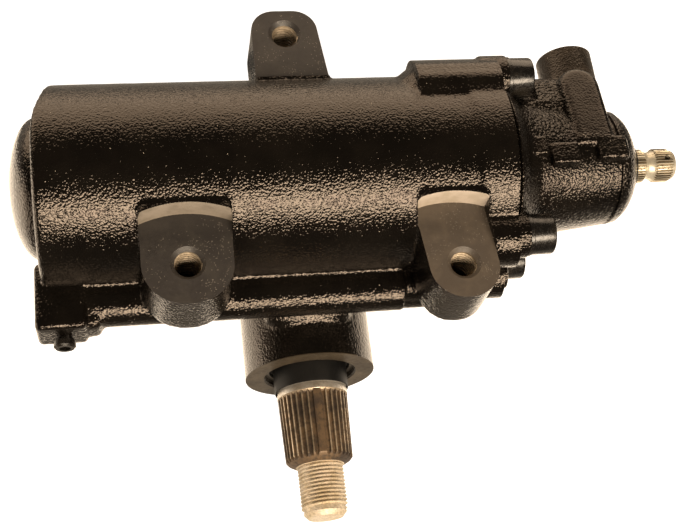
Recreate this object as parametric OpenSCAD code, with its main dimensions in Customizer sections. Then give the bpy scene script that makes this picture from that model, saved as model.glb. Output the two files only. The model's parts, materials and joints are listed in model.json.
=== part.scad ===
// Integral power steering gear of the recirculating-ball kind.
// X runs along the worm towards the input shaft, -Y along the pitman shaft, +Z out of the lug faces.
// Pieces are drawn about the point of the worm axis that lies above the sector axis,
// then set down on the back of the sector chamber, with the origin under the middle of the gear.

/* [Cylinder] */
// Outside diameter of the cylinder
cylinder_od = 95; // [93:0.5:97]
// Bore of the cylinder
bore_d = 72; // [71:0.25:74]
// Sector axis to the blind end of the cylinder
cylinder_left = 124.5; // [122:0.5:130]
// Thickness of the blind end of the bore
blind_wall = 8.5; // [7:0.5:10]
// Diameter of the domed end
dome_d = 76; // [70:1:84]
// Height of the domed end
dome_h = 13; // [8:0.5:18]
// Diameter of the gallery rail under the cylinder
rail_d = 26; // [24:0.5:28]
// Depth of the rail below the worm axis
rail_y = 50.3; // [49:0.25:52]
// Set-back of the rail and the gallery behind the worm axis
rail_z = 14; // [13:0.5:15]
// Diameter of the drilled oil gallery
gallery_d = 7; // [5:0.5:8]
// Length of the end block of the rail
block_l = 22; // [20:0.5:26]
// Lower face of the end block below the worm axis
block_y = 69; // [67:0.5:72]

/* [Mounting lugs] */
// Height of the machined lug faces above the worm axis
lug_face = 27; // [26:0.5:28]
// Thickness of the lugs
lug_t = 30; // [26:0.5:34]
// Tapping diameter of the lug holes
lug_tap_d = 12; // [10:0.25:13]
// Depth of the left lug hole
left_hole_l = 26; // [20:0.5:27]
// Depth of the right lug hole
right_hole_l = 22; // [18:0.5:24]
// Diameter of the countersink at the lug holes
lug_sink_d = 15.8; // [14:0.2:18]
// Radius of the milled wall behind a lug face
cutter_r = 50; // [45:1:60]
// Milled wall to the worm axis
wall_y = 29; // [28.5:0.25:31]
// Top lug hole along the worm axis
top_lug_x = -6.3; // [-8:0.1:-4]
// Top lug hole above the worm axis
top_lug_y = 64.6; // [62:0.2:68]
// Width of the top lug
top_lug_w = 32; // [28:0.5:36]
// Top lug hole to the end of the lug
top_lug_reach = 13.4; // [12:0.2:15]
// Left lug hole along the worm axis
left_lug_x = -60.2; // [-62:0.1:-58]
// Left lug hole below the worm axis
left_lug_y = 52.5; // [50:0.2:54]
// Width of the left lug
left_lug_w = 40.4; // [36:0.2:42]
// Left lug hole to the end of the lug
left_lug_reach = 19; // [17:0.2:20]
// Right lug hole along the worm axis
right_lug_x = 62.8; // [61:0.1:64]
// Right lug hole below the worm axis
right_lug_y = 59.2; // [57:0.2:61]
// Width of the right lug
right_lug_w = 32.6; // [30:0.2:35]
// Right lug hole to the end of the lug
right_lug_reach = 16.7; // [15:0.1:18]

/* [Sector chamber] */
// Worm axis to the sector axis
sector_drop = 56; // [55.5:0.1:56.5]
// Half-width of the sector chamber
chamber_w = 48; // [47:0.5:52]
// Sector axis to the flat back that the gear lies on
chamber_back = 42; // [41.5:0.25:46]
// Face for the side cover beyond the cylinder
cover_y = 2.5; // [2:0.25:3.5]
// Thickness of the side cover
cover_t = 8; // [7:0.5:9]
// Diameter of the pitman boss
boss_d = 63.8; // [62:0.2:66]
// Mouth of the pitman boss below the worm axis
boss_y = 80; // [79:0.5:82]
// Bore of the pitman boss
boss_bore = 44; // [43.5:0.25:46]

/* [Valve housing] */
// Sector axis to the joint of the two castings
joint_x = 91; // [90.5:0.25:92]
// Thickness of the valve housing flange
flange_t = 6; // [5.5:0.25:8]
// Width of the flange rim on the gear housing
rim_w = 18; // [14:0.5:20]
// Diameter of both flanges
flange_od = 97; // [95:0.5:98]
// Radius of the screw circle
screw_circle_r = 46; // [45.5:0.1:46.5]
// Radius of the flange ears
ear_r = 11.5; // [11:0.25:13]
// Length of the screw bosses on the gear housing
screw_boss_l = 42; // [38:0.5:46]
// Nominal diameter of the housing screws
screw_d = 12; // [10:0.5:12.5]
// Diameter of the nose of the valve housing
nose_d = 56; // [54:0.5:58]
// Bore for the valve sleeve
sleeve_bore = 40; // [39.5:0.1:40.5]
// Port axes from the sector axis
port_x = 140; // [138:0.5:141]
// Pressure port in front of the worm axis
pressure_z = 5; // [4:0.5:6]
// Return port behind the worm axis
return_z = 24; // [23:0.5:26]
// Face of the pressure port above the worm axis
pressure_y = 60; // [57:0.5:61]
// Face of the return port above the worm axis
return_y = 53; // [50:0.5:54]
// Diameter of the pressure port boss
pressure_od = 28; // [26:0.5:30]
// Diameter of the return port boss
return_od = 24; // [22.5:0.5:25]
// Tapping diameter of the pressure port
pressure_tap_d = 16.5; // [14:0.25:17]
// Tapping diameter of the return port
return_tap_d = 14.5; // [12:0.25:15]

/* [Gearing] */
// Tooth module of the rack and sector
tooth_module = 7; // [6.9:0.05:7.05]
// Teeth that a full sector gear would have
gear_teeth = 9; // [9:1:9]
// Teeth on the sector
sector_teeth = 3; // [3:2:3]
// Pressure angle of the teeth
pressure_angle = 25; // [24:0.5:26]
// Width of the sector teeth
sector_w = 40; // [36:0.5:41]
// Worm turns for one turn of the sector
steer_ratio = 17; // [16:0.5:18]
// Diameter of the recirculating balls
ball_d = 6.35; // [6:0.05:6.5]
// Diameter of the circle of the ball centres
ball_circle = 23; // [22.5:0.1:23.5]
// Turns of balls in the nut
ball_turns = 4; // [3:1:4]

/* [Piston and worm] */
// Sector axis to the left end of the piston
piston_left = 86; // [84:0.5:88]
// Sector axis to the right end of the piston
piston_right = 46; // [44:0.5:46.5]
// Outside diameter of the worm
worm_d = 22; // [21:0.1:22.2]
// Length of worm thread on each side of the sector axis
worm_reach = 50; // [49:0.5:52]
// Outside diameter of the thrust bearings
thrust_od = 44; // [42:0.5:45]
// Thickness of one thrust bearing
thrust_t = 4; // [3:0.25:4.5]
// Thickness of the thrust collar on the worm
collar_t = 8; // [6:0.5:9]
// Diameter of the torsion bar
bar_d = 7; // [6:0.25:7.5]

/* [Sector shaft] */
// Diameter of the sector shaft in its bearing
shaft_d = 35; // [34.5:0.1:35.5]
// Diameter of the upper end of the shaft in the side cover
trunnion_d = 34; // [33:0.25:35]
// Large end of the taper serrations below the worm axis
taper_y = 90; // [89:0.5:92]
// Length of the taper serrations
taper_l = 30; // [28:0.5:32]
// Large diameter of the taper serrations
taper_d = 34.2; // [33:0.1:34.4]
// Number of serrations
serrations = 36; // [32:2:40]
// Diameter of the pitman nut thread
nut_thread_d = 22.2; // [20:0.1:24]
// Pitch of the pitman nut thread
nut_pitch = 1.814; // [1.5:0.001:2.5]
// End of the pitman shaft below the worm axis
shaft_end_y = 151; // [149:0.5:153]
// Diameter of the lash adjuster screw
adjuster_d = 12; // [10:0.5:12.5]

/* [Input shaft] */
// Diameter of the spool inside the sleeve
spool_d = 25; // [24:0.1:25.5]
// Diameter of the input shaft in its bearing
journal_d = 18; // [17.5:0.1:18.5]
// Diameter of the input splines
spline_d = 16.8; // [16:0.1:17.2]
// Number of input splines
splines = 36; // [30:2:40]
// End of the input shaft from the sector axis
input_end = 186.7; // [185:0.1:188]
// Diameter of the cross holes for the torsion bar pins
pin_d = 3; // [2.5:0.1:3.2]

/* [Fits] */
// Radial running clearance
run_gap = 0.05; // [0.02:0.01:0.08]
// Radial gap of pressed and seated rings
seat_gap = 0.02; // [0.01:0.01:0.05]
// Gap between parts that pass each other freely
free_gap = 0.5; // [0.4:0.05:0.6]
// Half the backlash of the teeth
half_lash = 0.2; // [0.15:0.01:0.3]

/* [Hidden] */
$fn = 64;
cut = 1;

bore_end = -cylinder_left + blind_wall;
pitch_r = tooth_module * gear_teeth / 2;
pitch_z = -sector_drop + pitch_r;
rack_pitch = PI * tooth_module;
tip_r = pitch_r + 0.8 * tooth_module;
root_r = pitch_r - 0.95 * tooth_module;
hub_r = 0.65 * pitch_r;
rack_tip_z = pitch_z - 0.75 * tooth_module;
rack_root_z = pitch_z + 0.94 * tooth_module;
lead = 2 * PI * pitch_r / steer_ratio;
cavity_r = tip_r + 1.1;

// Angles of the housing screws from +Z towards +Y
screw_angles = [49, -68, 112, -131];
screw_core_d = 0.85 * screw_d;
screw_grip = 22;
screw_hole_l = screw_grip + 4;
head_d = 1.5 * screw_d + 1.2;
head_h = 1.06 * screw_d;
seat_x = joint_x + flange_t;

// Oil galleries and ports
gallery = [-rail_y + 1.3, -rail_z];
gallery_ear_r = 11;
gallery_recess_t = 1.6;
gallery_recess_d = gallery_d + 5;
block_left = -cylinder_left - 2;
plug_x = block_left + block_l / 2;
plug_head_t = 4.6;
link_tilt = 12;
link_l = 38;
return_tilt = 22;
return_drill_l = 34;
port_l = 12;
seat_l = 5;
seat_step = 2;

// Lugs as hole along X and Y, width, reach past the hole, corner radius and depth of the hole
top_lug = [top_lug_x, top_lug_y, top_lug_w, top_lug_reach, top_lug_w / 2 - 5, lug_t + cut];
left_lug = [left_lug_x, -left_lug_y, left_lug_w, left_lug_reach, left_lug_w / 2 - 1.5, left_hole_l];
right_lug = [right_lug_x, -right_lug_y, right_lug_w, right_lug_reach, right_lug_w / 2 - 0.6, right_hole_l];

// Stations along the worm axis
retainer_t = 7;
spanner_d = 4;
collar_x = joint_x - 7.5;
lower_thrust_x = collar_x - thrust_t;
retainer_x = lower_thrust_x - retainer_t;
upper_thrust_x = collar_x + collar_t;
shoulder_x = upper_thrust_x + thrust_t;
sleeve_x = shoulder_x + 1.5;
sleeve_l = 43;
sleeve_end = sleeve_x + sleeve_l;
hub_l = 7.5;
sleeve_bore_end = sleeve_end + 3;
bearing_x = sleeve_bore_end + 1;
bearing_l = 7;
seal_x = bearing_x + bearing_l + 1;
seal_l = 6;
snap_x = seal_x + seal_l + 0.3;
snap_t = 1.2;
dust_x = snap_x + snap_t + 0.3;
nose_x = sleeve_bore_end + 3;
nose_l = 19;
nose_arc = 50;
flare_l = 27;
nose_end = nose_x + nose_l * sin(nose_arc);
dust_l = 5.4;
spline_x = dust_x + dust_l + 0.6;
seal_bore = 29;
retainer_d = 60;
spigot_bore = thrust_od + 3;
spigot_od = bore_d - 2 * run_gap;
hub_d = 29;
bar_bore = bar_d + 2;
input_bearing_od = journal_d + 7;
spigot_groove_x = joint_x - 6;
spigot_groove_w = 4;
spigot_groove_d = bore_d - 5;
spigot_seal_play = 0.3;

// Torsion bar and its pins
bar_x = collar_x - 16;
bar_end = input_end - 1.5;
bar_head_l = 10;
worm_pin_x = bar_x + 5;
pin_x = input_end - 4.8;

// Rings and oil grooves of the valve sleeve
land_pitch = sleeve_l / 4 + 0.8;
sleeve_ring_x = sleeve_x + 2.5;
sleeve_ring_w = 2.2;
sleeve_ring_d = sleeve_bore - 4;
oil_groove_x = sleeve_x + 7.5;
oil_groove_w = 4;
drive_pin_d = 2 * pin_d;
drive_pin_x = sleeve_x + hub_l / 2;

// Nut and piston
helix_mid = 2.7;
ball_groove_r = ball_d / 2 + 0.65;
rack_left = -1.5 * rack_pitch - 25;
nut_left = -28;
plug_face = -piston_left + 10;
end_plug_d = 40;
plug_hex_d = 14;
plug_hex_l = 6;
ring_x0 = -piston_left + 12;
ring_w = 4.5;
ring_t = 2;
ring_play = 0.1;
guide_l = ball_turns * lead;
guide_x0 = helix_mid - guide_l / 2;
guide_mid = guide_x0 + guide_l / 2;
guide_d = 8.4;
guide_foot = ball_circle / 2 + ball_d / 2 + 0.6;
guide_floor = guide_foot + 1.2;
guide_z = guide_floor + guide_d / 2;
clamp_w = 12;
clamp_l = 27;
clamp_top = guide_floor + guide_d + 1.5;
clamp_hole_y = 10;
clamp_screw_d = 4.2;
clamp_grip = 3;
clamp_head_d = 7;
clamp_head_t = 1.8;

// Stations along the sector axis
chamber_bottom = -28;
chamber_top = -9;
cavity_bottom = -sector_w / 2 - 0.8;
cover_face = cylinder_od / 2 + cover_y;
gasket_t = 1;
plate_y = cover_face + gasket_t;
cover_top = plate_y + cover_t;
cover_hub_y = sector_w / 2 + 1;
cover_hub_d = 52;
cover_boss_d = 48;
bush_od = trunnion_d + 8;
trunnion_y = plate_y - 4;
cover_boss_y = cover_top + 7;
cover_bolts = [for (x = [-1, 1], z = [-1, 1]) [x * (chamber_w - 7.5), -sector_drop + z * 26]];
cover_bolt_d = 8;
cover_bolt_core_d = 0.85 * cover_bolt_d;
cover_bolt_grip = 18;
locknut_t = 8;
adjuster_end = cover_boss_y + locknut_t + 2.5;
slot_y = trunnion_y - 8;
head_t = 4;
shim_t = 0.6;
shim_y = slot_y + 0.2;
adjuster_head_y = shim_y + shim_t + 0.1;
adjuster_head_d = adjuster_d + 5;
slot_h = shim_t + head_t + 0.7;
stack_play = 0.4;
sector_bearing_y = cavity_bottom - 3;
sector_bearing_l = 30;
oil_seal_y = sector_bearing_y - sector_bearing_l - 3;
washer_t = 1.6;
washer_y = -boss_y + 10;
dust_seal_l = 4.8;
dust_seal_y = washer_y - stack_play - dust_seal_l;
sector_snap_y = dust_seal_y - stack_play - snap_t;
snap_play = 0.1;
snap_bite = 2.4;
snap_rim = 4;
snap_gap = 7;

floor_z = sector_drop + chamber_back;
mid_x = (input_end - cylinder_left - dome_h) / 2;
mid_y = (top_lug_y + top_lug_reach - shaft_end_y) / 2;

casting = "#1e1b18";
steel = "#b9b2a3";
dark_steel = "#5d5a55";
brass = "#b08d45";
rubber = "#2b2b2b";

// Point on the flange at an angle from +Z towards +Y
function flange_point(angle, r) = [r * sin(angle), r * cos(angle)];

// Involute angle of a pressure angle, in degrees
function involute(a) = tan(a) * 180 / PI - a;

// Half of a sector tooth's angle at radius r
function tooth_half(r) =
    let (base_r = pitch_r * cos(pressure_angle))
    90 / gear_teeth - half_lash / pitch_r * 180 / PI + involute(pressure_angle)
        - (r > base_r ? involute(acos(base_r / r)) : 0);

function polar(r, a) = [r * sin(a), r * cos(a)];

// Outline of one sector tooth that points along +Z
function tooth_outline() =
    let (base_r = pitch_r * cos(pressure_angle), steps = 6,
        flank = [for (i = [0 : steps]) base_r + (tip_r - base_r) * i / steps])
    concat(
        [polar(hub_r, -tooth_half(base_r)), polar(root_r, 2.5 - tooth_half(base_r))],
        [for (r = flank) polar(r, -tooth_half(r))],
        [for (i = [steps : -1 : 0]) polar(flank[i], tooth_half(flank[i]))],
        [polar(root_r, tooth_half(base_r) - 2.5), polar(hub_r, tooth_half(base_r))]);

// Point of the ball helix at angle a, counted from the middle of the nut
function helix(a, r) = [lead * a / 360 + helix_mid, -r * sin(a), r * cos(a)];

// Closed tube of n sides along the ball helix
module helix_tube(a0, a1, tube_r, rings, n = 8) {
    rise = atan(lead / (PI * ball_circle));
    points = [for (i = [0 : rings], k = [0 : n - 1])
        let (a = a0 + (a1 - a0) * i / rings, c = helix(a, ball_circle / 2),
            out = [0, -sin(a), cos(a)], side = [cos(rise), sin(rise) * cos(a), sin(rise) * sin(a)],
            t = 360 * k / n)
        c + tube_r * (cos(t) * out + sin(t) * side)];
    walls = [for (i = [0 : rings - 1], k = [0 : n - 1], half = [0, 1])
        let (a = i * n + k, b = i * n + (k + 1) % n)
        half == 0 ? [a, b, a + n] : [b, b + n, a + n]];
    first = [for (k = [1 : n - 2]) [0, k + 1, k]];
    last = [for (k = [1 : n - 2]) [0, k, k + 1] + [1, 1, 1] * rings * n];
    polyhedron(points, concat(walls, first, last), convexity = 10);
}

module in_place() {
    translate([-mid_x, -mid_y, floor_z]) children();
}

module at_sector() {
    translate([0, 0, -sector_drop]) children();
}

module rod_x(x0, x1, d) {
    translate([x0, 0, 0]) rotate([0, 90, 0]) cylinder(h = x1 - x0, d = d);
}

module ring_x(x0, x1, od, id) {
    difference() {
        rod_x(x0, x1, od);
        rod_x(x0 - cut, x1 + cut, id);
    }
}

module rod_y(y0, y1, d) {
    translate([0, y0, 0]) rotate([-90, 0, 0]) cylinder(h = y1 - y0, d = d);
}

module ring_y(y0, y1, od, id) {
    difference() {
        rod_y(y0, y1, od);
        rod_y(y0 - cut, y1 + cut, id);
    }
}

// Solid of revolution about the worm axis, from points of radius and station
module turn_x(profile) {
    rotate([0, 90, 0]) rotate_extrude() polygon(profile);
}

// Solid of revolution about the Y axis, from points of radius and height
module turn_y(profile) {
    rotate([-90, 0, 0]) rotate_extrude() polygon(profile);
}

// Outline in Y and Z, extruded along X
module slab_x(x0, x1) {
    translate([x0, 0, 0]) rotate([90, 0, 90]) linear_extrude(x1 - x0) children();
}

// Outline in X and Z, extruded along Y
module slab_y(y0, y1) {
    translate([0, y1, 0]) rotate([90, 0, 0]) linear_extrude(y1 - y0) children();
}

module slab_z(z0, z1) {
    translate([0, 0, z0]) linear_extrude(z1 - z0) children();
}

module at_screws() {
    for (a = screw_angles)
        let (p = flange_point(a, screw_circle_r)) translate([0, p[0], p[1]]) children();
}

module at_gallery() {
    translate([0, gallery[0], gallery[1]]) children();
}

module at_cover_bolts() {
    for (p = cover_bolts) translate([p[0], 0, p[1]]) children();
}

// Outline shared by the flanges of the two castings
module flange_outline() {
    circle(d = flange_od);
    for (a = screw_angles)
        translate(flange_point(a, screw_circle_r)) circle(ear_r);
    translate(gallery) circle(gallery_ear_r);
}

// Rounded lug outline with its hole at the origin, pointing along -Y
module lug_outline(lug, root) {
    half = lug[2] / 2;
    reach = lug[3];
    corner = lug[4];
    for (s = [-1, 1]) translate([s * (half - corner), corner - reach]) circle(corner);
    translate([-half, corner - reach]) square([2 * half, root + reach - corner]);
    translate([corner - half, -reach]) square([2 * (half - corner), root + reach]);
}

module lug_solid(lug, root) {
    translate([lug[0], lug[1], 0]) rotate([0, 0, lug[1] > 0 ? 180 : 0])
        slab_z(lug_face - lug_t, lug_face) lug_outline(lug, root);
}

// Stock that the mill takes off in front of a lower lug, up to its round wall
module lug_milling(lug) {
    translate([lug[0], -wall_y - cutter_r, 0]) slab_z(lug_face, lug_face + cylinder_od)
        intersection() {
            circle(cutter_r);
            translate([-lug[2] / 2, 0]) square([lug[2], 2 * cutter_r]);
        }
}

module lug_hole(lug) {
    sink = (lug_sink_d - lug_tap_d) / 2;
    depth = lug[5];
    translate([lug[0], lug[1], lug_face - depth]) cylinder(h = depth, d = lug_tap_d);
    translate([lug[0], lug[1], lug_face - sink])
        cylinder(h = sink, d1 = lug_tap_d, d2 = lug_sink_d);
}

// Chamfered outline of the sector chamber and its cover
module chamber_outline() {
    back = -sector_drop - chamber_back;
    corner = 14;
    polygon([[-chamber_w, chamber_top], [-chamber_w, back + corner], [corner - chamber_w, back],
        [chamber_w - corner, back], [chamber_w, back + corner], [chamber_w, chamber_top]]);
}

module domed_end() {
    steps = 10;
    turn_x(concat([[0, -cylinder_left + cut], [dome_d / 2, -cylinder_left + cut]],
        [for (i = [0 : steps]) [dome_d / 2 * cos(90 * i / steps),
            -cylinder_left - dome_h * sin(90 * i / steps)]]));
}

module gallery_rail() {
    translate([0, -rail_y, -rail_z]) rod_x(-cylinder_left, joint_x, rail_d);
    translate([-cylinder_left, -rail_y, -rail_z - rail_d / 2])
        cube([cylinder_left + joint_x, rail_y - bore_d / 2, rail_d]);
    translate([block_left, -block_y, -rail_z - 8])
        cube([block_l, block_y - bore_d / 2, 18]);
}

module gear_housing_body() {
    rod_x(-cylinder_left, joint_x, cylinder_od);
    domed_end();
    slab_x(joint_x - rim_w, joint_x) flange_outline();
    at_screws() rod_x(joint_x - screw_boss_l, joint_x, 2 * ear_r - 4);
    gallery_rail();
    lug_solid(top_lug, top_lug_y - cylinder_od / 4);
    lug_solid(left_lug, left_lug_y - wall_y);
    lug_solid(right_lug, right_lug_y - wall_y);
    slab_y(chamber_bottom, cover_face) chamber_outline();
    at_sector() rod_y(-boss_y, cavity_bottom, boss_d);
}

module gear_housing_bores() {
    rod_x(bore_end, joint_x + cut, bore_d);
    at_sector() rod_y(cavity_bottom, cover_face + cut, 2 * cavity_r);
    at_sector() rod_y(-boss_y - cut, cavity_bottom + cut, boss_bore);
    at_sector() ring_y(sector_snap_y - snap_play, sector_snap_y + snap_t + snap_play,
        boss_bore + snap_bite, boss_bore - cut);
    for (lug = [left_lug, right_lug]) lug_milling(lug);
    for (lug = [top_lug, left_lug, right_lug]) lug_hole(lug);
    at_screws() rod_x(joint_x - screw_hole_l, joint_x + cut, screw_core_d);
    at_gallery() {
        rod_x(plug_x, joint_x + cut, gallery_d);
        rod_x(joint_x - gallery_recess_t, joint_x + cut, gallery_recess_d);
    }
    translate([plug_x, 0, -rail_z]) rod_y(-block_y - cut, -bore_d / 2 + 4, gallery_d);
    at_cover_bolts() rod_y(cover_face - cover_bolt_grip - 2, cover_face + cut, cover_bolt_core_d);
}

module gear_housing() {
    color(casting) in_place() difference() {
        gear_housing_body();
        gear_housing_bores();
    }
}

// Outline of the valve body from the flange to the end of the rounded nose
module valve_body() {
    steps = 8;
    r = nose_d / 2;
    flare = [[r + 11, seat_x - 2], [r + 10, seat_x + 2], [r + 5, seat_x + flare_l], [r + 1, nose_x - 9]];
    nose = [for (i = [0 : steps])
        let (a = nose_arc * i / steps) [r * cos(a), nose_x + nose_l * sin(a)]];
    turn_x(concat([[0, seat_x - 2]], flare, nose, [[0, nose_end]]));
}

// Cast block that carries the two port bosses
module port_block() {
    front = nose_d / 2 + 2;
    top = 44;
    pad_r = 10;
    pad_y = 33;
    slab_x(seat_x + 14, nose_x + 4) polygon([[-2, front], [10, front], [top - 4, pressure_z + 15],
        [top, pressure_z + 9], [top, -return_z - 8], [8, -return_z - 3], [-2, 0]]);
    translate([port_x, 0, pressure_z]) rod_y(0, pressure_y, pressure_od);
    translate([port_x, 0, -return_z]) rod_y(4, return_y, return_od);
    translate([port_x - 3, 0, 0]) slab_z(0, front + 1) {
        translate([0, pad_y]) circle(pad_r);
        translate([-pad_r, 0]) square([2 * pad_r, pad_y]);
    }
    translate([nose_x - 10, -9, 0]) cube([15, 12, front + 1]);
}

// Threaded length of a port and the smaller bore for its tube seat
module port_bore(y, tap_d) {
    rod_y(y - port_l, y + cut, tap_d);
    rod_y(y - port_l - seat_l, y, tap_d - seat_step);
}

// Slanted drilling from the oil gallery into the sleeve bore
module gallery_link() {
    rotate([atan2(gallery[1], gallery[0]), 0, 0]) translate([joint_x + 1, norm(gallery), 0])
        rotate([0, 0, link_tilt]) rod_y(-link_l, 0, gallery_d - 2);
}

module valve_housing() {
    color(casting) in_place() difference() {
        union() {
            slab_x(joint_x, seat_x) flange_outline();
            rod_x(retainer_x, joint_x, spigot_od);
            valve_body();
            port_block();
        }
        rod_x(retainer_x - cut, lower_thrust_x, retainer_d);
        rod_x(lower_thrust_x - cut, shoulder_x, spigot_bore);
        rod_x(shoulder_x - cut, sleeve_bore_end, sleeve_bore);
        rod_x(sleeve_bore_end - cut, nose_end + cut, input_bearing_od);
        rod_x(seal_x - 0.5, nose_end + cut, seal_bore);
        ring_x(snap_x - snap_play, snap_x + snap_t + snap_play, seal_bore + snap_bite, seal_bore - cut);
        ring_x(spigot_groove_x, spigot_groove_x + spigot_groove_w, bore_d + cut, spigot_groove_d);
        at_screws() {
            rod_x(joint_x - cut, seat_x + cut, screw_d + 2 * free_gap);
            rod_x(seat_x, seat_x + 2 * head_h, head_d + 3 * free_gap);
        }
        at_gallery() rod_x(joint_x - cut, joint_x + 3, gallery_d);
        gallery_link();
        translate([port_x, 0, pressure_z]) {
            port_bore(pressure_y, pressure_tap_d);
            rod_y(sleeve_bore / 4, pressure_y, gallery_d);
        }
        translate([port_x, 0, -return_z]) {
            port_bore(return_y, return_tap_d);
            translate([0, return_y - port_l - seat_l, 0]) rotate([-return_tilt, 0, 0])
                rod_y(-return_drill_l, 2, gallery_d);
        }
    }
}

module socket_screw(length, d, h_d, h) {
    socket = 0.82 * d;
    difference() {
        union() {
            rod_x(-length, 0, d);
            rod_x(0, h, h_d);
        }
        translate([0.45 * h, 0, 0]) rotate([0, 90, 0]) cylinder(h = h, d = socket, $fn = 6);
    }
}

module valve_housing_screws() {
    color(dark_steel) in_place() at_screws() translate([seat_x, 0, 0])
        socket_screw(flange_t + screw_grip, screw_core_d - 2 * seat_gap, head_d, head_h);
}

module valve_housing_seal() {
    color(rubber) in_place() ring_x(spigot_groove_x + spigot_seal_play,
        spigot_groove_x + spigot_groove_w - spigot_seal_play,
        bore_d - 2 * seat_gap, spigot_groove_d + 2 * seat_gap);
}

module gallery_seal() {
    color(rubber) in_place() at_gallery() ring_x(joint_x - gallery_recess_t + seat_gap, joint_x - seat_gap,
        gallery_recess_d - 2 * seat_gap, gallery_d);
}

module gallery_plug() {
    color(casting) in_place() translate([plug_x, 0, -rail_z]) {
        rod_y(-block_y - plug_head_t, -block_y, gallery_d + 3);
        rod_y(-block_y - cut, -block_y + 9, gallery_d - 2 * seat_gap);
    }
}

module side_cover() {
    color(casting) in_place() difference() {
        union() {
            slab_y(plate_y, cover_top) chamber_outline();
            at_sector() rod_y(cover_hub_y, plate_y + cut, cover_hub_d);
            at_sector() rod_y(cover_top - cut, cover_boss_y, cover_boss_d);
        }
        at_sector() rod_y(cover_hub_y - cut, trunnion_y + 2, bush_od);
        at_sector() rod_y(cover_hub_y, cover_boss_y + cut, adjuster_d + 2 * seat_gap);
        at_cover_bolts() rod_y(cover_face, cover_top + cut, cover_bolt_d + 2 * free_gap);
    }
}

module side_cover_gasket() {
    color("#6b6a58") in_place() difference() {
        slab_y(cover_face, plate_y) chamber_outline();
        at_sector() rod_y(cover_face - cut, plate_y + cut, 2 * cavity_r);
        at_cover_bolts() rod_y(cover_face - cut, plate_y + cut, cover_bolt_d + 2 * free_gap);
    }
}

module side_cover_bolts() {
    color(dark_steel) in_place() at_cover_bolts() {
        rod_y(cover_face - cover_bolt_grip, cover_top + cut, cover_bolt_core_d - 2 * seat_gap);
        translate([0, cover_top, 0]) rotate([-90, 0, 0])
            cylinder(h = 0.68 * cover_bolt_d, d = 1.85 * cover_bolt_d, $fn = 6);
    }
}

module sector_cover_bush() {
    color(brass) in_place() at_sector()
        ring_y(cover_hub_y, trunnion_y + 1, bush_od - 2 * seat_gap, trunnion_d + 2 * run_gap);
}

module lash_adjuster_screw() {
    color(dark_steel) in_place() at_sector() difference() {
        union() {
            rod_y(adjuster_head_y, adjuster_head_y + head_t, adjuster_head_d);
            rod_y(slot_y + head_t, adjuster_end, adjuster_d);
        }
        translate([-adjuster_d, adjuster_end - 2, -0.9]) cube([2 * adjuster_d, 4, 1.8]);
    }
}

module adjuster_shim() {
    color(steel) in_place() at_sector()
        rod_y(shim_y, shim_y + shim_t, adjuster_head_d);
}

module adjuster_locknut() {
    color(dark_steel) in_place() at_sector() difference() {
        translate([0, cover_boss_y, 0]) rotate([-90, 0, 0])
            cylinder(h = locknut_t, d = 1.83 * adjuster_d, $fn = 6);
        rod_y(cover_boss_y - cut, cover_boss_y + adjuster_d, adjuster_d + 2 * seat_gap);
    }
}

// Ring between the pitman boss and the sector shaft
module boss_ring(y0, y1) {
    ring_y(y0, y1, boss_bore - 2 * seat_gap, shaft_d + 2 * run_gap);
}

module sector_needle_bearing() {
    color(steel) in_place() at_sector() boss_ring(sector_bearing_y - sector_bearing_l, sector_bearing_y);
}

module sector_oil_seal() {
    color(rubber) in_place() at_sector() boss_ring(washer_y + washer_t + stack_play, oil_seal_y);
}

module sector_backup_washer() {
    color(steel) in_place() at_sector() boss_ring(washer_y, washer_y + washer_t);
}

module sector_dust_seal() {
    color(rubber) in_place() at_sector() boss_ring(dust_seal_y, dust_seal_y + dust_seal_l);
}

module sector_snap_ring() {
    color(steel) in_place() at_sector() difference() {
        ring_y(sector_snap_y, sector_snap_y + snap_t, boss_bore + snap_bite - 4 * snap_play,
            boss_bore - snap_rim);
        translate([-snap_gap / 2, sector_snap_y - cut, -boss_bore]) cube([snap_gap, 3 * cut, boss_bore]);
    }
}

module worm_bearing_retainer() {
    color(dark_steel) in_place() difference() {
        ring_x(retainer_x + stack_play, lower_thrust_x, retainer_d - 2 * seat_gap, worm_d + 2);
        for (a = [0 : 90 : 270]) rotate([a, 0, 0])
            translate([0, retainer_d / 2 - 8, 0]) rod_x(retainer_x - cut, lower_thrust_x - 2, spanner_d);
    }
}

// Two races with a ring of needle rollers between them
module thrust_bearing(x0, id) {
    race_t = thrust_t * 0.24;
    roller_d = thrust_t - 2 * race_t - 2 * seat_gap;
    inner = id / 2 + 2;
    outer = thrust_od / 2 - 1;
    ring_x(x0 + run_gap, x0 + race_t, thrust_od, id);
    ring_x(x0 + thrust_t - race_t, x0 + thrust_t - run_gap, thrust_od, id);
    for (a = [0 : 15 : 345]) rotate([a, 0, 0])
        translate([x0 + thrust_t / 2, inner, 0]) rod_y(0, outer - inner, roller_d);
}

module lower_thrust_bearing() {
    color(steel) in_place() thrust_bearing(lower_thrust_x, worm_d + 2);
}

module upper_thrust_bearing() {
    color(steel) in_place() thrust_bearing(upper_thrust_x, hub_d + 2 * run_gap);
}

module input_needle_bearing() {
    color(steel) in_place()
        ring_x(bearing_x, bearing_x + bearing_l, input_bearing_od - 2 * seat_gap, journal_d + 2 * run_gap);
}

module input_shaft_seal() {
    color(rubber) in_place()
        ring_x(seal_x, seal_x + seal_l, seal_bore - 2 * seat_gap, journal_d + 2 * run_gap);
}

module input_snap_ring() {
    color(steel) in_place() difference() {
        ring_x(snap_x, snap_x + snap_t, seal_bore + snap_bite - 4 * snap_play, seal_bore - snap_rim);
        translate([snap_x - cut, -snap_gap / 2, -seal_bore]) cube([3 * cut, snap_gap, seal_bore]);
    }
}

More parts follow.
